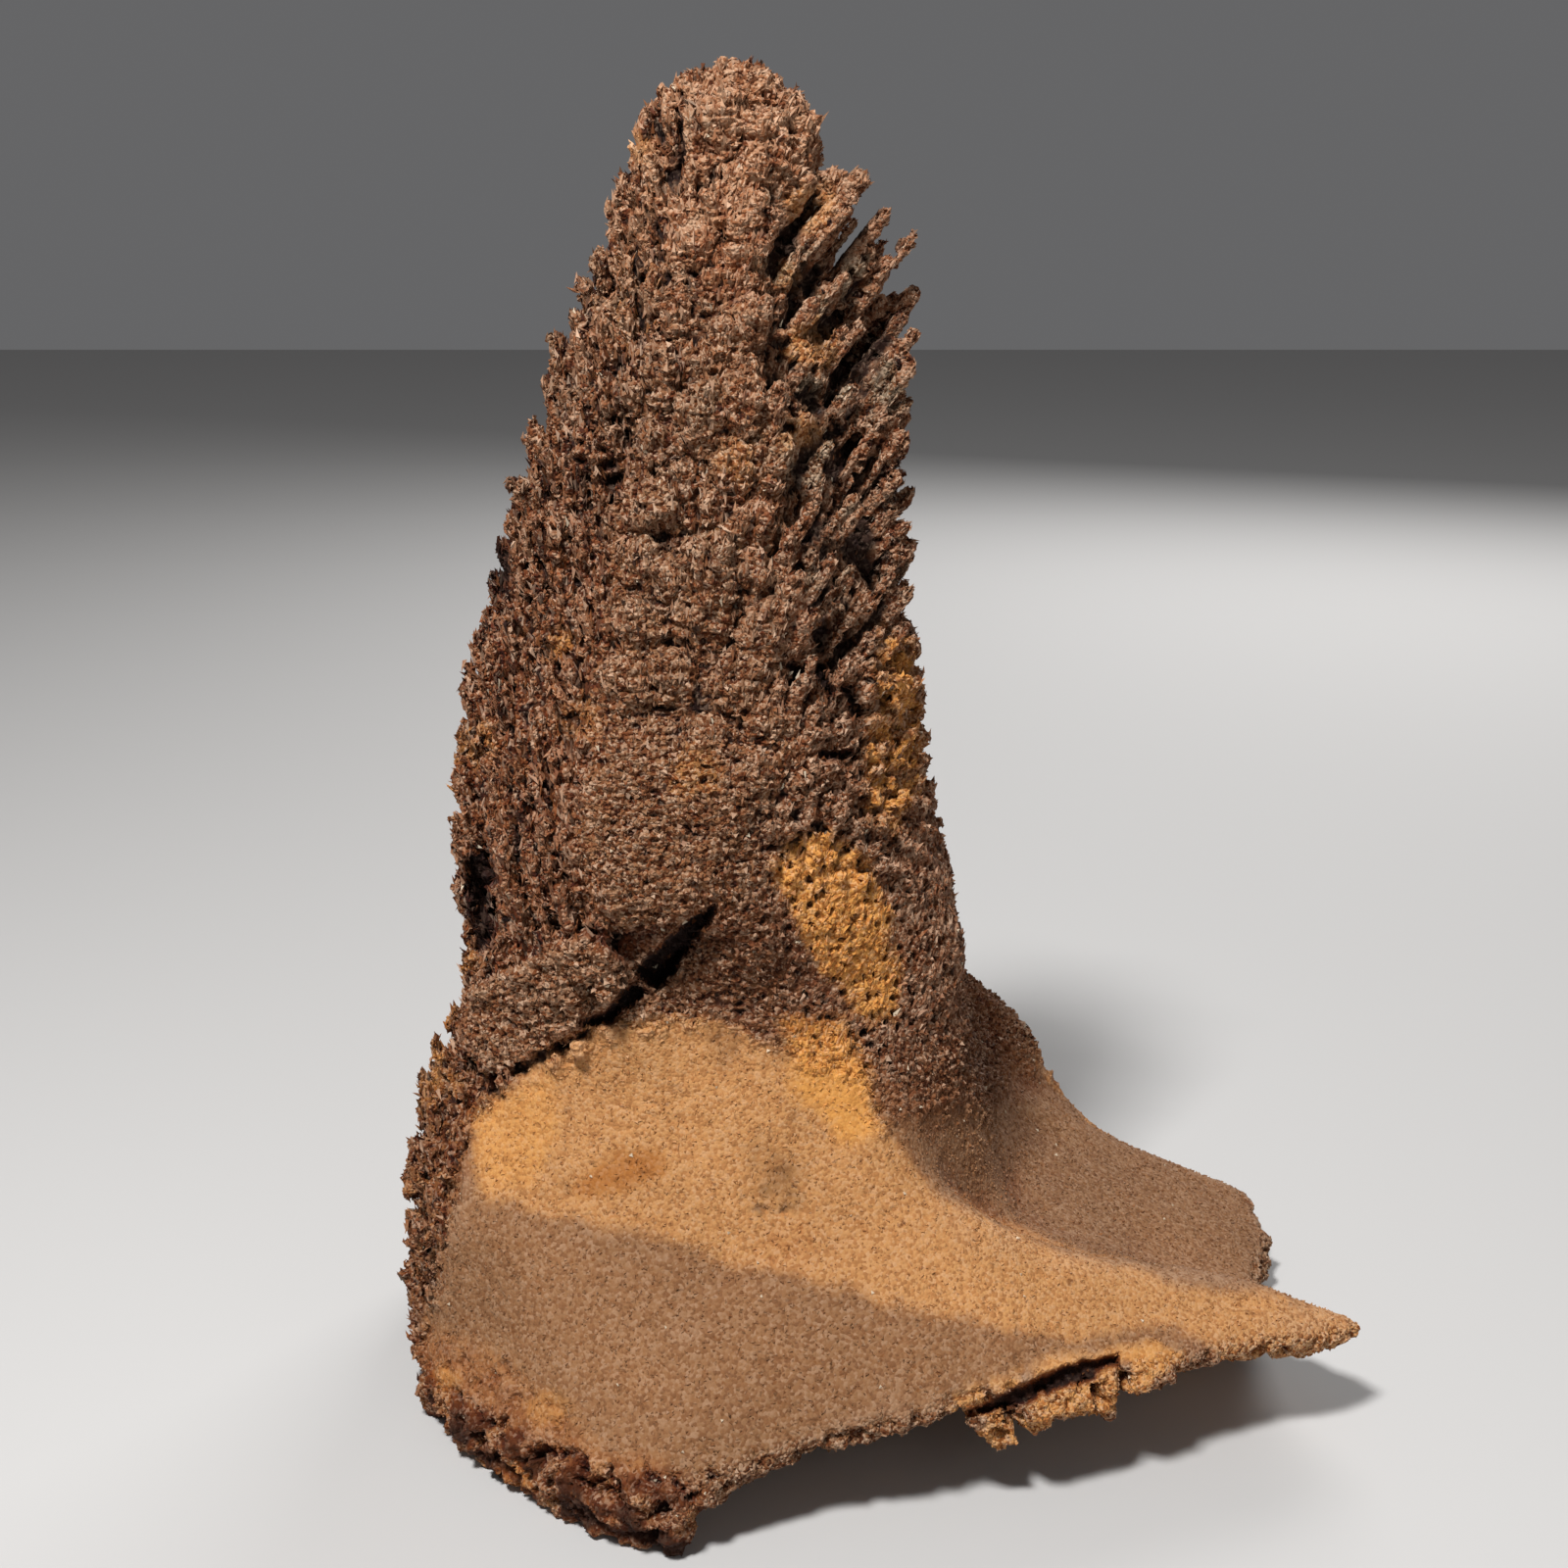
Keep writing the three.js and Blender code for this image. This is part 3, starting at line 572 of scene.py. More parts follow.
# Hollows and raised places in the front view.
CLEFT = [(730, 923), (714, 930), (700, 941), (680, 958), (660, 977), (647, 990), (655, 999), (668, 1009),
         (679, 1004), (690, 988), (701, 971), (715, 951), (730, 932)]
CLEFT_TAIL = [(650, 1000), (632, 1014), (617, 1036), (590, 1040), (592, 1046), (622, 1044), (662, 1012)]
LEFT_CAVITY = [(474, 876), (484, 868), (501, 872), (509, 900), (499, 908), (503, 934), (508, 954),
               (500, 966), (489, 972), (483, 940), (476, 914)]
LEFT_HOLE = [(506, 548), (520, 560), (522, 596), (514, 610), (504, 600), (500, 570)]
CRACK = [(986, 1439), (1015, 1427), (1052, 1409), (1096, 1391), (1141, 1382), (1141, 1392), (1120, 1400),
         (1118, 1408), (1081, 1416), (1054, 1428), (1021, 1438), (990, 1445)]
# Each hollow is also painted near black in zones, as its shadow.
HOLLOWS = [  # outline, and depth in mm
    (CLEFT, 9.0),
    (CLEFT_TAIL, 5.0),
    (LEFT_CAVITY, 7.0),
    (LEFT_HOLE, 5.0),
    (CRACK, 4.0),
    ([(800, 678), (810, 674), (818, 686), (808, 692)], 3.0),
    ([(828, 684), (838, 680), (854, 704), (846, 716)], 4.0),
    ([(858, 700), (868, 702), (880, 728), (870, 734)], 4.0),
    ([(834, 768), (870, 764), (872, 772), (840, 778)], 4.0),
]
BULGE = [(600, 760), (700, 740), (760, 800), (740, 900), (690, 925), (640, 945), (600, 940), (560, 850)]
# The recess is also given painted shade in zones.
RECESS = [(575, 955), (593, 946), (640, 948), (690, 940), (662, 966), (642, 990), (655, 1003), (612, 962),
          (594, 953)]
PLATE = [(476, 1010), (566, 966), (593, 955), (611, 965), (664, 1008), (645, 1006), (617, 1036),
         (580, 1056), (540, 1078), (500, 1096), (470, 1060)]
VALLEY_HEAD = [(935, 1120), (975, 1110), (1010, 1150), (1000, 1215), (960, 1215), (940, 1170)]
PLATE_EDGE = [(588, 952), (596, 951), (614, 962), (668, 1006), (660, 1012), (611, 973), (594, 961)]

# Outline, height in mm, and softness of the border. The plates end where the sand begins.
RAISED = [(BULGE, 2.5, 26), (RECESS, -1.6, 5)]
PLATES = [(PLATE, 1.0, 4), (PLATE_EDGE, 1.2, 3)]

# Scales: their widths, lengths and heights, and how many places are tried.
SCALE_ROWS = {"width": (5, 9), "length": (5, 9), "height": (1.6, 2.8), "tries": 9000}
RIPPLES = {"width": (1.9, 3.8), "length": (1.8, 3.0), "height": (0.9, 1.6), "tries": 60000}

# Heights and depths of the rest of the relief.
LUMP_HEIGHT, ROOF_HEIGHT, GAP_DEPTH = 0.5, 0.8, 2.2
PIT_DEPTH, SMALL_PIT_DEPTH, SAND_PIT_DEPTH = 2.0, 0.8, 0.35
CRUMB_HEIGHT, CRUMB_HOLE_DEPTH = 1.9, 3.2


def streaks(points, along, wave, reach, seed):
    """Noise drawn out along the fibres, scaled to a spread of 1."""
    steps = np.linspace(-reach, reach, 7)
    total = sum(noise(points + along * step, wave, seed) for step in steps)
    return total / total.std()


def tree_of(points):
    tree = kdtree.KDTree(len(points))
    for i, p in enumerate(points):
        tree.insert(p, i)
    tree.balance()
    return tree


def stamp_scales(points, normals, along, tree, weight, size, chance):
    """Lift of small overlapping scales in uneven rows, each highest at its rounded upper tip."""
    lift = np.zeros(len(points))
    taken = np.zeros(len(points), bool)
    tries = chance.choice(len(points), size=size["tries"], replace=False, p=weight / weight.sum())
    side = np.cross(along, normals)
    for seed in tries:
        if taken[seed]:
            continue
        w, length, height = (chance.uniform(*size[key]) for key in ("width", "length", "height"))
        hits = np.array([i for _, i, _ in tree.find_range(points[seed], length)])
        offset = points[hits] - points[seed]
        down = -(offset @ along[seed]) / length
        across = np.abs(offset @ side[seed]) * 2 / w
        taken[hits[(np.abs(down) < 0.5) & (across < 0.85)]] = True
        roof = 1 - np.clip(1 - down * 2.6, 0, 1) ** 2
        on = (down > 0) & (across < np.sqrt(np.maximum(roof, 0)))
        value = height * (1 - down) * (1 - 0.75 * across**3)
        lift[hits[on]] = np.maximum(lift[hits[on]], value[on])
    return lift


def valley_head(points):
    """1 in the head of the valley behind the ridge, which is even."""
    return near_half(points) * inside(front_place(points), VALLEY_HEAD, 20)


def hollow_place(points):
    """The front view's places, made a little uneven for the borders of hollows."""
    return front_place(points) + wander(points, 3, 3, (35, 36))


def relief_masks(points, normals):
    """The masks that the parts of the relief share."""
    m = SimpleNamespace(place=front_place(points), front=faces_front(points, normals))
    m.sand, m.rods, m.pores, m.columns = sandiness(points), rodded(points), porous(points), columned(points)
    m.knobs = knobbed(points)
    m.under = underside(points, normals)
    m.outer = (1 - m.sand) * (1 - m.under)
    m.plain = np.clip(1 - m.rods - m.pores - m.columns, 0, 1)
    return m


def scale_relief(points, normals, along, m):
    """Rows of scales and the ripples on them."""
    tree = tree_of(points)
    chance = np.random.default_rng(SEED + 1)
    coarse = stamp_scales(points, normals, along, tree, m.outer * (0.05 + m.plain), SCALE_ROWS, chance)
    rippled = m.outer * (0.02 + m.plain + 0.4 * m.columns)
    fine = stamp_scales(points, normals, along, tree, rippled, RIPPLES, chance)
    flaky = 0.25 + 0.75 * smooth(points[:, 2], 130, 200)
    lumpy = m.outer * (1 - 0.8 * np.clip(m.rods + m.columns, 0, 1) - 0.2 * m.knobs)
    lumps = LUMP_HEIGHT * layered(points, 7, 2, 24)
    return m.plain * (0.8 * flaky * coarse + fine) + 0.15 * m.columns * fine + lumpy * lumps


def fibre_relief(points, along, m):
    """Grooves and wide gaps along the fibres."""
    thin_streaks = streaks(points, along, 2.2, 5.5, 21)
    broken = smooth(noise(points, 8, 23), -0.3, 0.3)
    groove = smooth(-thin_streaks, 0.4, 1.5) * broken
    gap = smooth(-streaks(points, along, 3.4, 11, 22), 0.3, 1.1)
    crowned = smooth(points[:, 2], 262, 286)
    grooved = 0.5 + 1.3 * m.columns + 0.5 * m.rods + 0.4 * m.knobs
    gapped = m.rods + m.columns * (1 - 0.7 * crowned)
    ridged = 0.5 * m.columns + 0.3 * m.knobs
    return m.outer * (ridged * thin_streaks - grooved * groove - GAP_DEPTH * gapped * gap)


def pit_relief(points, bent, m):
    """Pits and clumps, the gentlest of them in the ochre patches."""
    some = 0.05 * noise(points, 7, 40)
    ochre = m.front * np.maximum(inside(m.place, OCHRE_HIGH, 8), inside(m.place, OCHRE_LOW, 12))
    clumps = smooth(0.5 - cell_distance(bent, 2.4, 26), -0.12, 0.12)
    clumps = (1 - 0.6 * ochre) * (0.2 + 0.4 * stubbed(points)) * clumps
    pits = (1 - 0.3 * ochre) * smooth(0.39 + some - cell_distance(bent, 2.6, 27), 0, 0.12)
    small_pits = smooth(0.38 + some - cell_distance(bent, 2.5, 28), 0, 0.12)
    bare = m.outer * (1 - m.pores) * (1 - 0.6 * np.clip(m.rods + m.columns + m.knobs, 0, 1))
    return m.pores * (clumps - PIT_DEPTH * pits) - bare * SMALL_PIT_DEPTH * small_pits


def foot_relief(points, bent, m):
    """The sand's slight waves and pits, the crumbs of the broken edge, and the rough underside."""
    pits = smooth(noise(bent, 2.6, 29) + 0.5 * noise(points, 16, 15), 0.45, 0.75)
    waves = 0.4 * noise(points, 14, 30) + 0.16 * noise(points, 3.4, 31)
    edge = np.maximum(ragged_edge(points), 0.25 * m.front * inside(m.place, FOOT_RUST, 12))
    crumbs = layered(points, 5, 3, 32)
    crumbly = CRUMB_HEIGHT * crumbs - CRUMB_HOLE_DEPTH * smooth(-crumbs, 0.15, 0.5)
    move = m.sand * (1 - m.under) * (waves - SAND_PIT_DEPTH * pits)
    move += edge * ((1 - 0.6 * raised_edge(points)) * crumbly + 0.7 * layered(points, 2.4, 2, 16))
    return move + m.under * ROOF_HEIGHT * layered(points, 7, 3, 33)


def raised(place, outlines):
    """How far these outlines raise each place."""
    return sum(height * inside(place, outline, soft) for outline, height, soft in outlines)


def relief(points, normals):
    """How far every point of the body moves out."""
    m = relief_masks(points, normals)
    along = along_surface(fibres(points), normals)
    bent = points + wander(points, 3.1, 0.9, (37, 38, 39))
    move = scale_relief(points, normals, along, m) + fibre_relief(points, along, m)
    move += pit_relief(points, bent, m) + foot_relief(points, bent, m)
    move += (0.07 + 0.27 * m.outer) * (1 - 0.4 * m.columns) * layered(points, 1.9, 2, 34)
    place = hollow_place(points)
    return move + m.front * (raised(place, RAISED) + (1 - m.sand) * raised(place, PLATES))


def hollowed(points):
    """The points with those of each hollow moved away from the front view's eye."""
    away = unit(points - EYE)
    place = hollow_place(points)
    deep = np.zeros(len(points))
    for outline, depth in HOLLOWS:
        deep = np.maximum(deep, depth * inside(place, outline, 3))
    return points + away * (near_half(points) * deep)[:, None]


def rough_core():
    """The CAD solid with the places between the fingers sunk, and the CAD's own bars smoothed into it."""
    points, _, triangles, _ = mesh_arrays(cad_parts[NODE].data)
    core = new_object("core", points, triangles)
    apply_modifier(core, "REMESH", mode="VOXEL", voxel_size=CORE_VOXEL / 1000, adaptivity=0.0)
    points, normals, triangles, edges = mesh_arrays(core.data)
    rods = rodded(points)
    points = relaxed(points, edges, 0.5 * rods, 8)
    even = sandiness(points) * (1 - ragged_edge(points))
    even = np.maximum(even, (1 - smooth(points[:, 2], 150, 185)) * (points[:, 2] > 60) * (1 - rods))
    even = np.maximum(even, valley_head(points))
    points = relaxed(points, edges, 0.6 * even, 50)
    skin = points.copy()
    sink = sum(depth * mask(points) for mask, depth, *_ in KINDS)
    points = points - out_of_trunk(points) * (sink * (1 - underside(points, normals)))[:, None]
    bpy.data.objects.remove(core)
    return points, skin, triangles


def make_body():
    """The body, in place of the CAD solid: a closed mesh, before it is parted."""
    chance = np.random.default_rng(SEED + 2)
    core, skin, triangles = rough_core()
    sets = [(core, triangles), placed_fingers(FREE_RODS, ROD_WAY, *FREE_ROD_SIZE, chance)]
    sets.append(placed_fingers(rod_row_tips(chance), ROD_WAY, *ROD_ROW_SIZE, chance))
    sets.append(placed_fingers(CROWN_TIPS, (0, 0, 1), *CROWN_TIP_SIZE, chance))
    sets += [fingers(skin, triangles, kind, chance) for kind in KINDS]
    body = new_object("concretion_body", *joined(sets))
    apply_modifier(body, "REMESH", mode="VOXEL", voxel_size=VOXEL / 1000, adaptivity=0.0)
    mesh = body.data
    points, _, triangles, edges = mesh_arrays(mesh)
    points = relaxed(points, edges, 0.5, 2)
    normals = vertex_normals(points, triangles)
    points = hollowed(points + normals * relief(points, normals)[:, None])
    points[:, 2] = np.maximum(points[:, 2], 0)
    set_points(mesh, points)
    apply_modifier(body, "TRIANGULATE")
    apply_modifier(body, "DECIMATE", ratio=len(BODY_NAMES) * BODY_TRIANGLES / len(mesh.polygons))
    return body


def hollowness(points, normals, edges):
    """How deep each point lies in pits and in wide gaps, and how far it stands out of its surroundings: the
    shares of painted shade and of a painted highlight.
    """
    even = relaxed(points, edges, 0.7, 22)
    depth = np.einsum("ij,ij->i", even - points, normals)
    wide = relaxed(even, edges, 0.8, 70)
    gap = np.einsum("ij,ij->i", wide - points, out_of_trunk(points)) * (points[:, 2] > 60)
    rods = rodded(points)
    hollow = np.maximum(smooth(depth, 0.05, 1.1), fibre_lines(points, rods))
    return hollow, smooth(gap, 0.3 - 0.4 * rods, 1.6 - 1.0 * rods), smooth(-depth, 0.1, 1.2)


def fibre_lines(points, rods):
    """Fine lines of painted shade along the fibres, where these show."""
    lines = smooth(-streaks(points, fibres(points), 2.0, 6, 53), 0.5, 1.5)
    return lines * np.clip(0.9 * columned(points) + 0.5 * knobbed(points) + 0.5 * rods, 0, 1)


# ---- Colour zones ----

# Outlines in the front view.
SAND_BORDER = [(540, 1236), (620, 1250), (760, 1290), (900, 1327), (1080, 1367), (1200, 1352)]
ORANGE = [(488, 1218), (484, 1145), (520, 1096), (600, 1046), (680, 1034), (760, 1052), (800, 1082),
          (880, 1100), (905, 1150), (930, 1200), (1000, 1240), (1100, 1280), (1200, 1310), (1300, 1320),
          (1405, 1350), (1380, 1392), (1250, 1392), *reversed(SAND_BORDER)]
SHARDS = [(970, 1430), (1080, 1385), (1210, 1372), (1180, 1420), (1040, 1490), (965, 1500)]
GREY = [(466, 1196), (500, 1216), *SAND_BORDER, (1210, 1392), (1000, 1445), (850, 1475), (722, 1520),
        (640, 1510), (560, 1450), (500, 1392), (424, 1360), (440, 1290)]
FOOT_RUST = [(418, 1345), (500, 1375), (567, 1428), (604, 1470), (700, 1500), (600, 1510), (480, 1450),
             (424, 1400)]
SAND_GOLD = [(484, 1143), (520, 1108), (566, 1100), (570, 1160), (540, 1212), (500, 1216), (486, 1190)]
LEFT_STRIP = [(478, 950), (490, 985), (472, 1010), (458, 1050), (455, 1085), (470, 1105), (440, 1135),
              (420, 1120), (430, 1050), (455, 1005), (468, 985)]
LOBE = [(905, 1150), (950, 1132), (1066, 1112), (1135, 1150), (1300, 1195), (1310, 1330), (1200, 1312),
        (1100, 1282), (1000, 1242), (940, 1200)]
OCHRE_HIGH = [(838, 842), (880, 870), (905, 930), (918, 1000), (912, 1042), (880, 1038), (840, 985),
              (800, 930), (788, 885), (808, 855)]
OCHRE_EDGE = [(902, 640), (930, 655), (942, 720), (938, 800), (915, 850), (885, 830), (880, 760),
              (900, 700)]
OCHRE_LOW = [(800, 1040), (860, 1035), (885, 1080), (900, 1150), (860, 1165), (815, 1120)]
# DARK_VALLEY outlines painted shade in the valley behind the ridge.
DARK_VALLEY = [(905, 1040), (960, 1010), (1050, 1060), (1066, 1118), (990, 1138), (930, 1165), (905, 1110)]
DARK_SLOPE = [(700, 960), (740, 915), (790, 900), (830, 980), (870, 1035), (800, 1060), (680, 1030)]
RIM = [(425, 1090), (470, 1110), (474, 1180), (456, 1230), (440, 1290), (420, 1345), (440, 1395),
       (490, 1436), (560, 1474), (640, 1490), (722, 1512), (730, 1600), (600, 1600), (460, 1510),
       (400, 1440), (400, 1200)]
SPOT = [(584, 1208), (607, 1192), (633, 1180), (672, 1171), (686, 1200), (650, 1210), (613, 1213),
        (594, 1216)]

# Ochre tips and rusty spots in the front view: centre, radius and share.
OCHRE_TIPS = [(828, 212, 24, 0.35), (803, 284, 15, 0.3), (828, 352, 27, 0.45), (819, 440, 20, 0.4),
              (757, 470, 20, 0.25), (648, 148, 16, 0.35), (572, 657, 12, 0.5), (710, 790, 26, 0.3),
              (593, 734, 22, 0.2), (485, 755, 18, 0.35), (455, 1412, 18, 0.5), (520, 1512, 22, 0.5),
              (560, 1440, 20, 0.3)]


def rim_share(points, normals):
    """1 on the foot's broken, rusty edge."""
    place = front_place(points) + wander(points, 11, 9, (41, 42))
    seen = faces_front(points, normals) > 0.5
    return np.where(seen, inside(place, RIM, 10), ragged_edge(points))


def zones(points, normals):
    """Shares of the colours at each point: orange sand, ochre, grey-brown sand, and darkness, which is
    painted shade in the valley, the recess and the hollows, and elsewhere only darker colour.
    """
    place = front_place(points) + wander(points, 11, 9, (41, 42)) + wander(points, 3, 5, (43, 44))
    front, sand = faces_front(points, normals), sandiness(points)
    seen = front > 0.5
    rim, rust, spot = rim_share(points, normals), inside(place, FOOT_RUST, 10), inside(place, SPOT, 7)
    patchy = smooth(noise(points, 26, 45) + 0.4 * noise(points, 9, 46), -0.1, 0.35)
    speckled = 0.3 + 0.7 * smooth(noise(points, 4, 48), -0.25, 0.1)
    shards = front * smooth(noise(points, 6, 49), -0.4, -0.1) * inside(place, SHARDS, 8)
    at_ground = 1 - smooth(points[:, 2], 8, 24)

    orange = np.where(seen, inside(place, ORANGE, 9), 0.75 * sand * patchy)
    rusty = 0.2 + 0.65 * smooth(noise(points, 5, 50), 0.0, 0.35) * (1 - 0.3 * at_ground)
    orange = np.maximum(orange, shards) * (1 - rim)
    orange = np.maximum.reduce([orange, rim * rusty, 0.3 * speckled * rust])

    grey = np.maximum(inside(place, GREY, 9), inside(place, LOBE, 10)) * (1 - 0.5 * rust)
    grey = np.where(seen, grey, sand * (1 - patchy)) * (1 - rim)

    high, low = inside(place, OCHRE_HIGH, 8), inside(place, OCHRE_LOW, 12)
    edge, strip = inside(place, OCHRE_EDGE, 9), 0.6 * inside(place, LEFT_STRIP, 8)
    gold = 0.5 * inside(place, SAND_GOLD, 12)
    ochre = np.maximum.reduce([high, low, speckled * edge, speckled * strip, gold, 0.5 * shards, 0.6 * spot])
    for x, y, radius, share in OCHRE_TIPS:
        distance = np.hypot(place[:, 0] - x, place[:, 1] - y)
        ochre = np.maximum(ochre, share * smooth(radius - distance, -8, 8))
    ochre = np.where(seen, ochre, 0.6 * smooth(noise(points, 30, 47), 0.35, 0.6) * (1 - sand))

    # Darkness: painted shade in the valley behind the ridge, and on DARK_SLOPE only a darker colour.
    dark = front * np.maximum(0.12 * inside(place, DARK_VALLEY, 14), 0.14 * inside(place, DARK_SLOPE, 12))
    uneven, near = hollow_place(points), near_half(points)
    # Painted shade in the recess above the plate, and near-black painted shadow in each hollow.
    dark = np.maximum(dark, front * 0.4 * inside(uneven, RECESS, 5))
    for outline, _ in HOLLOWS:
        dark = np.maximum(dark, near * 0.95 * inside(uneven, outline, 3))
    # The broken edge a little darker overall and much darker in patches near the ground; the spot darker too.
    rim_darkening = rim * (0.1 + 0.8 * at_ground * smooth(noise(points, 7, 54), -0.1, 0.3))
    dark = np.maximum.reduce([dark, rim_darkening, 0.2 * spot])
    return np.stack([orange, ochre, grey, dark], axis=1)


def tones(points, normals):
    """Shares of the trunk's tones: its light crown, grey right flank, red-brown left and green-grey rods."""
    crown = smooth(points[:, 2], 225, 290)
    right = np.clip(rodded(points) + porous(points), 0, 1)
    left = columned(points) * (1 - smooth(points[:, 2], 200, 260))
    left = np.maximum(left, rim_share(points, normals))
    left = np.maximum(left, faces_front(points, normals) * inside(front_place(points), FOOT_RUST, 12))
    green = smooth(noise(points, 13, 51) + 0.5 * noise(points, 5, 52), 0.18, 0.5)
    green = green * smooth(points[:, 2], 150, 230) * (0.35 + 0.65 * rodded(points))
    return np.stack([crown, right, left, green], axis=1)


def part_body(body, material):
    """The body as a few pieces, parted by height, each under the limit on triangles."""
    points, normals, triangles, edges = mesh_arrays(body.data)
    hollow, gap, proud = hollowness(points, normals, edges)
    calm = sandiness(points) * (1 - ragged_edge(points))
    even = valley_head(points)
    stains = zones(points, normals)
    # hollow and gap are painted shade and proud a painted highlight; less painted shade in pits on the calm
    # sand and valley head, and in gaps on the valley head and ochre.
    hollow = hollow * (1 - 0.7 * np.maximum(calm, even))
    gap = gap * (1 - np.maximum(even, 0.8 * stains[:, 1]))
    depth = np.stack([hollow, proud, calm, gap], axis=1)
    values = {"zones": stains, "tones": tones(points, normals), "depth": depth}
    pieces = []
    for name, mine in parted(BODY_NAMES, points[triangles, 2].mean(axis=1)):
        used, corners = np.unique(triangles[mine], return_inverse=True)
        corners = corners.reshape(-1, 3)
        stored = {key: value[used] for key, value in values.items()}
        pieces.append(finished(f"concretion_{name}", points[used], corners, stored, material))
    bpy.data.objects.remove(body)
    return pieces, (points, normals, triangles, values)


# ---- Grains ----

CRUMB = np.array([(1, 1, 1), (1, -1, -1), (-1, 1, -1), (-1, -1, 1)]) / math.sqrt(3)
CRUMB_FACES = np.array([(0, 1, 2), (0, 2, 3), (0, 3, 1), (1, 3, 2)])
SPLINTER = np.array([0.7, 0.6, 2.4])  # a crumb's width, thickness and length where the fibres draw it out
GRAIN_RADIUS = (0.45, 0.95)  # mm
PALE_SHARE = 0.006


def random_turns(count, chance):
    """Rotation matrices, evenly spread."""
    q = chance.normal(size=(count, 4))
    q /= np.linalg.norm(q, axis=1, keepdims=True)
    w, v = q[:, 0, None, None], q[:, 1:]
    kept = (2 * w * w - 1) * np.eye(3)
    return kept + 2 * v[:, :, None] * v[:, None] + 2 * w * np.cross(np.eye(3), v[:, None])


def make_grains(body, material):
    """Sand grains on the body: joined meshes of small four-cornered crumbs, each half sunk."""
    points, normals, triangles, values = body
    chance = np.random.default_rng(SEED + 3)
    count = len(GRAIN_NAMES) * GRAINS_A_PIECE
    weight = 1 - 0.97 * underside(points, normals)[triangles].mean(axis=1)
    chosen, shares = scattered(points, triangles, count, weight, chance)
    place = at_places(points, triangles, chosen, shares)
    out = unit(at_places(normals, triangles, chosen, shares))
    rods = rodded(place)
    size = chance.uniform(*GRAIN_RADIUS, count) * (1 - 0.35 * np.maximum(sandiness(place), rods))
    fibrous = np.clip(rods + columned(place) + 0.8 * knobbed(place) + 0.5 * porous(place), 0, 1)
    drawn_out = chance.random(count) < fibrous
    stretch = np.where(drawn_out[:, None], SPLINTER, chance.uniform(0.75, 1.2, (count, 3)))
    along = unit(along_surface(fibres(place), out) + 0.2 * out + 0.14 * chance.normal(size=place.shape))
    side = unit(np.cross(along, out))
    axes = np.stack([side, np.cross(side, along), along], axis=1)
    corners = np.einsum("nij,kj->nki", random_turns(count, chance), CRUMB) * stretch[:, None]
    corners = np.einsum("nki,nij->nkj", corners, axes)
    grains = (place + out * (size * 0.1)[:, None])[:, None] + corners * size[:, None, None]
    grains[:, :, 2] = np.maximum(grains[:, :, 2], 0.02)
    shade = np.clip(chance.normal(0.5, 0.24, count), 0, 1)
    kind = np.stack([shade, chance.random(count) < PALE_SHARE, chance.random(count), np.ones(count)], axis=1)
    there = {name: at_places(value, triangles, chosen, shares) for name, value in values.items()}
    there["grain"] = kind
    pieces = []
    for name, mine in parted(GRAIN_NAMES, place[:, 2]):
        faces = (CRUMB_FACES[None] + (np.arange(len(mine)) * len(CRUMB))[:, None, None]).reshape(-1, 3)
        stored = {key: np.repeat(value[mine], len(CRUMB), axis=0) for key, value in there.items()}
        pieces.append(finished(f"grains_{name}", grains[mine].reshape(-1, 3), faces, stored, material))
    return pieces


# ---- Materials ----


def shown(*display):
    """A colour given in 0 to 255 display values."""
    shares = [v / 255 for v in display]
    return tuple(v / 12.92 if v <= 0.04 else ((v + 0.055) / 1.055) ** 2.4 for v in shares) + (1.0,)


BROWN = shown(131, 91, 60)
CROWN = shown(161, 119, 88)
RIGHT = shown(140, 100, 73)
LEFT = shown(130, 77, 40)
GREEN = shown(108, 97, 78)
ORANGE_SAND = shown(176, 127, 78)
OCHRE_SAND = shown(198, 139, 70)
GREY_SAND = shown(132, 94, 62)
FLECK = shown(116, 72, 36)
# Near black: painted shade and shadow in pits, fibre lines, wide gaps and the dark zone, and the darkest
# grains.
DEEP = shown(22, 4, 0)
# A multiplying tint: painted shade in pits, fibre lines and the dark zone, and the darker specks of the
# grain.
SHADE_AND_SPECK_TINT = (0.62, 0.34, 0.15, 1.0)
# A pale coat: a faint painted highlight where the stone stands out, and the lighter grains.
LIGHT = shown(202, 172, 146)
PALE = shown(205, 190, 165)


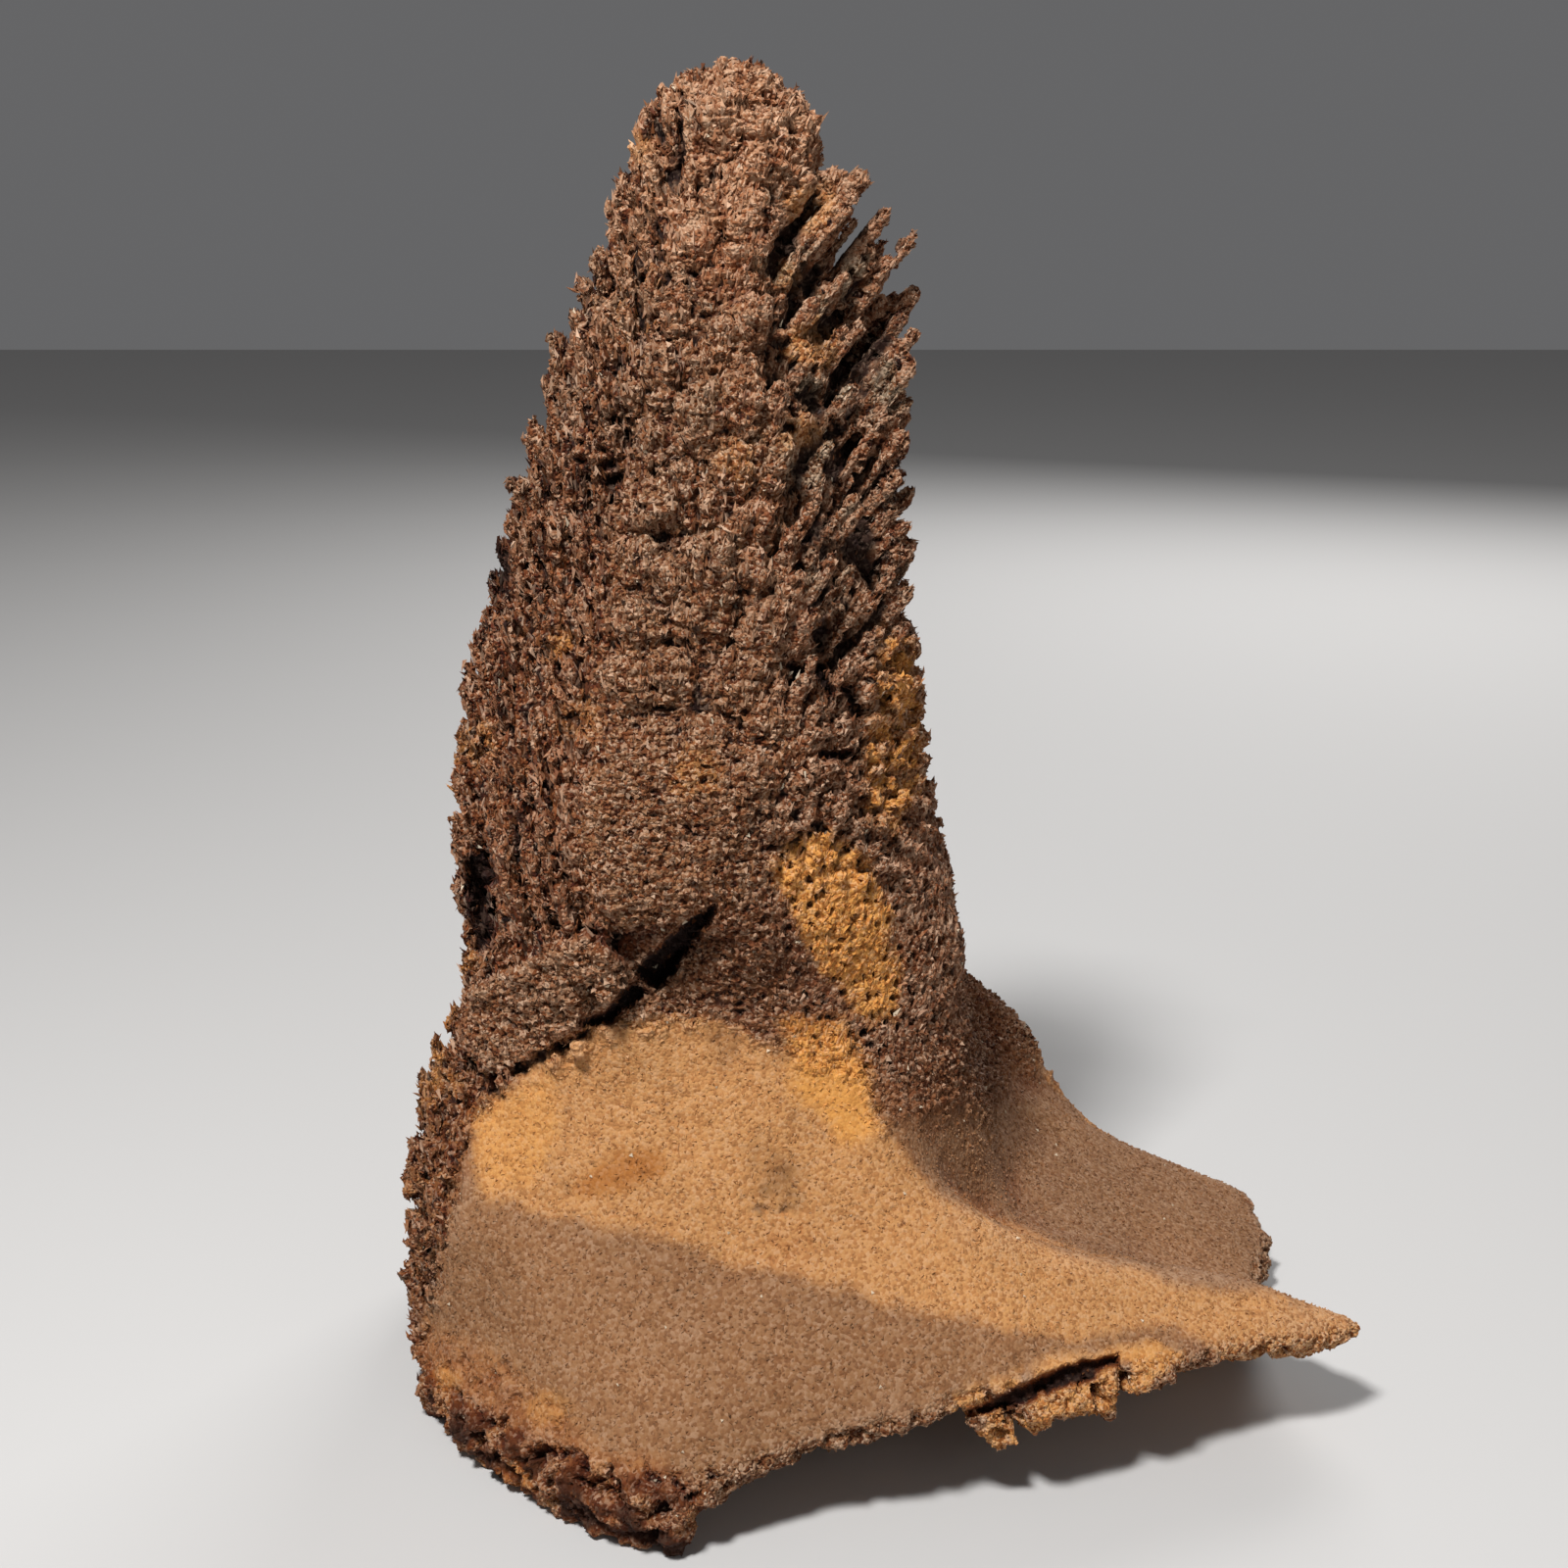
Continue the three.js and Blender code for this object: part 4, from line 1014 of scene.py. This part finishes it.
class Nodes:
    """A material's node tree, built by short calls."""

    def __init__(self, name):
        self.material = bpy.data.materials.new(name)
        self.material.use_nodes = True
        self.tree = self.material.node_tree
        self.tree.nodes.clear()

    def add(self, kind, *first, **others):
        """A node with values or links in its first inputs and in others by name."""
        node = self.tree.nodes.new(kind)
        for key, value in enumerate(first):
            self.put(node, key, value)
        for key, value in others.items():
            self.put(node, key.replace("_", " "), value)
        return node

    def put(self, node, key, value):
        socket = node.inputs[key]
        if isinstance(value, bpy.types.NodeSocket):
            self.tree.links.new(value, socket)
        else:
            socket.default_value = value

    def values(self, name):
        """The red, green, blue and alpha of a stored value."""
        node = self.add("ShaderNodeAttribute")
        node.attribute_name = name
        split = self.add("ShaderNodeSeparateColor", Color=node.outputs["Color"])
        return [*split.outputs, node.outputs["Alpha"]]

    def texture(self, kind, **inputs):
        place = self.add("ShaderNodeTexCoord").outputs["Object"]
        return self.add(kind, Vector=place, **inputs).outputs

    def noise(self, scale, detail=2.0, rough=0.6):
        return self.texture("ShaderNodeTexNoise", Scale=scale, Detail=detail, Roughness=rough)["Fac"]

    def times(self, product, *factors):
        for factor in factors:
            node = self.add("ShaderNodeMath", product, factor)
            node.operation = "MULTIPLY"
            product = node.outputs[0]
        return product

    def ranged(self, value, low, high, to_low=0.0, to_high=1.0):
        return self.add("ShaderNodeMapRange", value, low, high, to_low, to_high).outputs[0]

    def mix(self, share, a, b, blend="MIX"):
        node = self.add("ShaderNodeMix", share)
        node.data_type = "RGBA"
        node.blend_type = blend
        self.put(node, 6, a)
        self.put(node, 7, b)
        return node.outputs[2]

    def coated(self, colour, *coats):
        """The colour under coats, each given as its share and its colour. A coat of SHADE_AND_SPECK_TINT darkens."""
        for share, coat in coats:
            colour = self.mix(share, colour, coat, "MULTIPLY" if coat is SHADE_AND_SPECK_TINT else "MIX")
        return colour


def stone_colour(n):
    """The stone's colour from its tones and zones, with painted shade in its hollows and gaps and a faint
    painted highlight where it stands out, and how lively its grain is.
    """
    crown, right, left, green = n.values("tones")
    orange, ochre, grey, dark = n.values("zones")
    hollow, proud, calm, gap = n.values("depth")
    colour = n.coated(
        BROWN, (crown, CROWN), (n.times(right, 0.85), RIGHT), (n.times(left, 0.8), LEFT),
        (n.ranged(n.noise(45.0, 3.0), 0.52, 0.68, 0.0, 0.45), LEFT), (n.times(green, 0.8), GREEN),
        (grey, GREY_SAND), (orange, ORANGE_SAND),
    )
    colour = n.mix(1.0, colour, n.ranged(n.noise(22.0, 4.0), 0.3, 0.7, 0.86, 1.12), "MULTIPLY")
    flecks = n.ranged(n.noise(370.0, 3.0, 0.8), 0.62, 0.68, 0.0, 0.75)
    blots = n.ranged(n.noise(150.0, 4.0, 0.75), 0.63, 0.7, 0.0, 0.6)
    # These coats hold painted light: a faint painted highlight where the stone stands out, painted shade in
    # pits, fibre lines and wide gaps, and the dark zone's painted shade and shadow, which also carries darker
    # colour on the rim and a spot. Ochre, flecks and blots are the stone's own colour.
    colour = n.coated(
        colour,
        (n.ranged(proud, 0.2, 1.0, 0.0, 0.14), LIGHT), (n.ranged(hollow, 0.0, 0.6), SHADE_AND_SPECK_TINT),
        (ochre, OCHRE_SAND), (n.times(calm, flecks), FLECK), (n.times(calm, blots), FLECK),
        (n.ranged(hollow, 0.3, 1.0, 0.0, 0.92), DEEP), (n.ranged(dark, 0.0, 0.4), SHADE_AND_SPECK_TINT),
        (dark, DEEP), (n.times(gap, 0.95), DEEP),
    )
    faint = ((dark, 0.8, 0.1), (gap, 1.0, 0.2), (ochre, 1.0, 0.6), (crown, 1.0, 0.75), (calm, 1.0, 0.34))
    return colour, n.times(*(n.ranged(share, 0.0, full, 1.0, least) for share, full, least in faint))


def surface(n, colour, roughness, shine=0.5):
    """The shader of a material, put on its output."""
    coat = {"Base_Color": colour, "Roughness": roughness, "Specular_IOR_Level": shine}
    shader = n.add("ShaderNodeBsdfPrincipled", **coat)
    n.add("ShaderNodeOutputMaterial", Surface=shader.outputs[0])
    return shader


def stone_surface(n, colour, rough_low, rough_high):
    return surface(n, colour, n.ranged(n.noise(900.0, 1.0), 0.35, 0.65, rough_low, rough_high), 0.25)


def body_material():
    n = Nodes("cemented_sand")
    colour, lively = stone_colour(n)
    grain = n.texture("ShaderNodeTexVoronoi", Scale=1400.0)
    tone = n.add("ShaderNodeSeparateColor", grain["Color"]).outputs[0]
    colour = n.coated(
        colour,
        (n.times(lively, n.ranged(tone, 0.55, 0.2)), SHADE_AND_SPECK_TINT),
        (n.times(lively, n.ranged(tone, 0.6, 1.0, 0.0, 0.5)), LIGHT),
        (n.times(lively, n.ranged(tone, 0.3, 0.0, 0.0, 0.7)), DEEP),
    )
    shader = stone_surface(n, colour, 0.8, 1.0)
    height = n.ranged(grain["Distance"], 0.0, 0.7, 1.0, 0.0)
    bump = n.add("ShaderNodeBump", Strength=lively, Distance=0.0006, Height=height)
    n.put(shader, "Normal", bump.outputs[0])
    return n.material


def grain_material():
    n = Nodes("sand_grains")
    shade, pale, rusty, _ = n.values("grain")
    colour, lively = stone_colour(n)
    colour = n.coated(
        colour,
        (n.times(lively, n.ranged(n.noise(1300.0, 1.0), 0.5, 0.4)), SHADE_AND_SPECK_TINT),
        (n.times(lively, n.ranged(shade, 0.5, 1.0, 0.0, 0.62)), LIGHT),
        (n.times(lively, n.ranged(shade, 0.45, 0.0, 0.0, 0.9)), DEEP),
        (n.ranged(rusty, 0.85, 1.0, 0.0, 0.5), LEFT),
        (n.times(pale, 0.75), PALE),
    )
    stone_surface(n, colour, 0.65, 0.95)
    return n.material


# ---- Making it ----

body_pieces, whole_body = part_body(make_body(), body_material())
for piece in body_pieces + make_grains(whole_body, grain_material()):
    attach(piece, "root")
    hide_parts(NODE)

# ---- Floor, light, camera ----

FLOOR_REACH = 3.0  # m
FLOOR_COLOUR = (0.5, 0.49, 0.48, 1)


def make_floor():
    corners = FLOOR_REACH * np.array([(-1, -1, 0), (1, -1, 0), (1, 1, 0), (-1, 1, 0)])
    floor = new_object("floor", to_own_axes(corners), np.array([(0, 1, 2), (0, 2, 3)]))
    n = Nodes("pale_floor")
    surface(n, FLOOR_COLOUR, 0.9)
    floor.data.materials.append(n.material)


def area_light(name, place, aim, size, power):
    """A lamp that points at that height of the object's middle."""
    light = bpy.data.lights.new(name, "AREA")
    light.size = size
    light.energy = power
    lamp = added(name, light)
    lamp.location = place
    lamp.rotation_euler = (Vector(place) - Vector((0, 0, aim))).to_track_quat("Z", "Y").to_euler()


make_floor()
area_light("key", (-0.27, -0.52, 0.99), 0.13, 0.15, 16)
area_light("fill", (0.5, -1.1, 0.5), 0.12, 0.9, 1.6)
area_light("back", (0.45, 1.1, 0.8), 0.12, 0.8, 11)

world = bpy.data.worlds.new("studio")
world.use_nodes = True
background = world.node_tree.nodes["Background"]
background.inputs["Color"].default_value = (0.82, 0.82, 0.84, 1)
background.inputs["Strength"].default_value = 0.16

camera = bpy.data.cameras.new("camera")
camera.angle = 2 * math.atan(SHEET / 2 / FOCAL)
camera.clip_start = 0.01
viewer = added("camera", camera)
viewer.location = to_metres(EYE)
viewer.rotation_euler = (math.pi / 2 - PITCH, 0, 0)

scene = bpy.context.scene
scene.world = world
scene.view_settings.view_transform = "Standard"
scene.camera = viewer
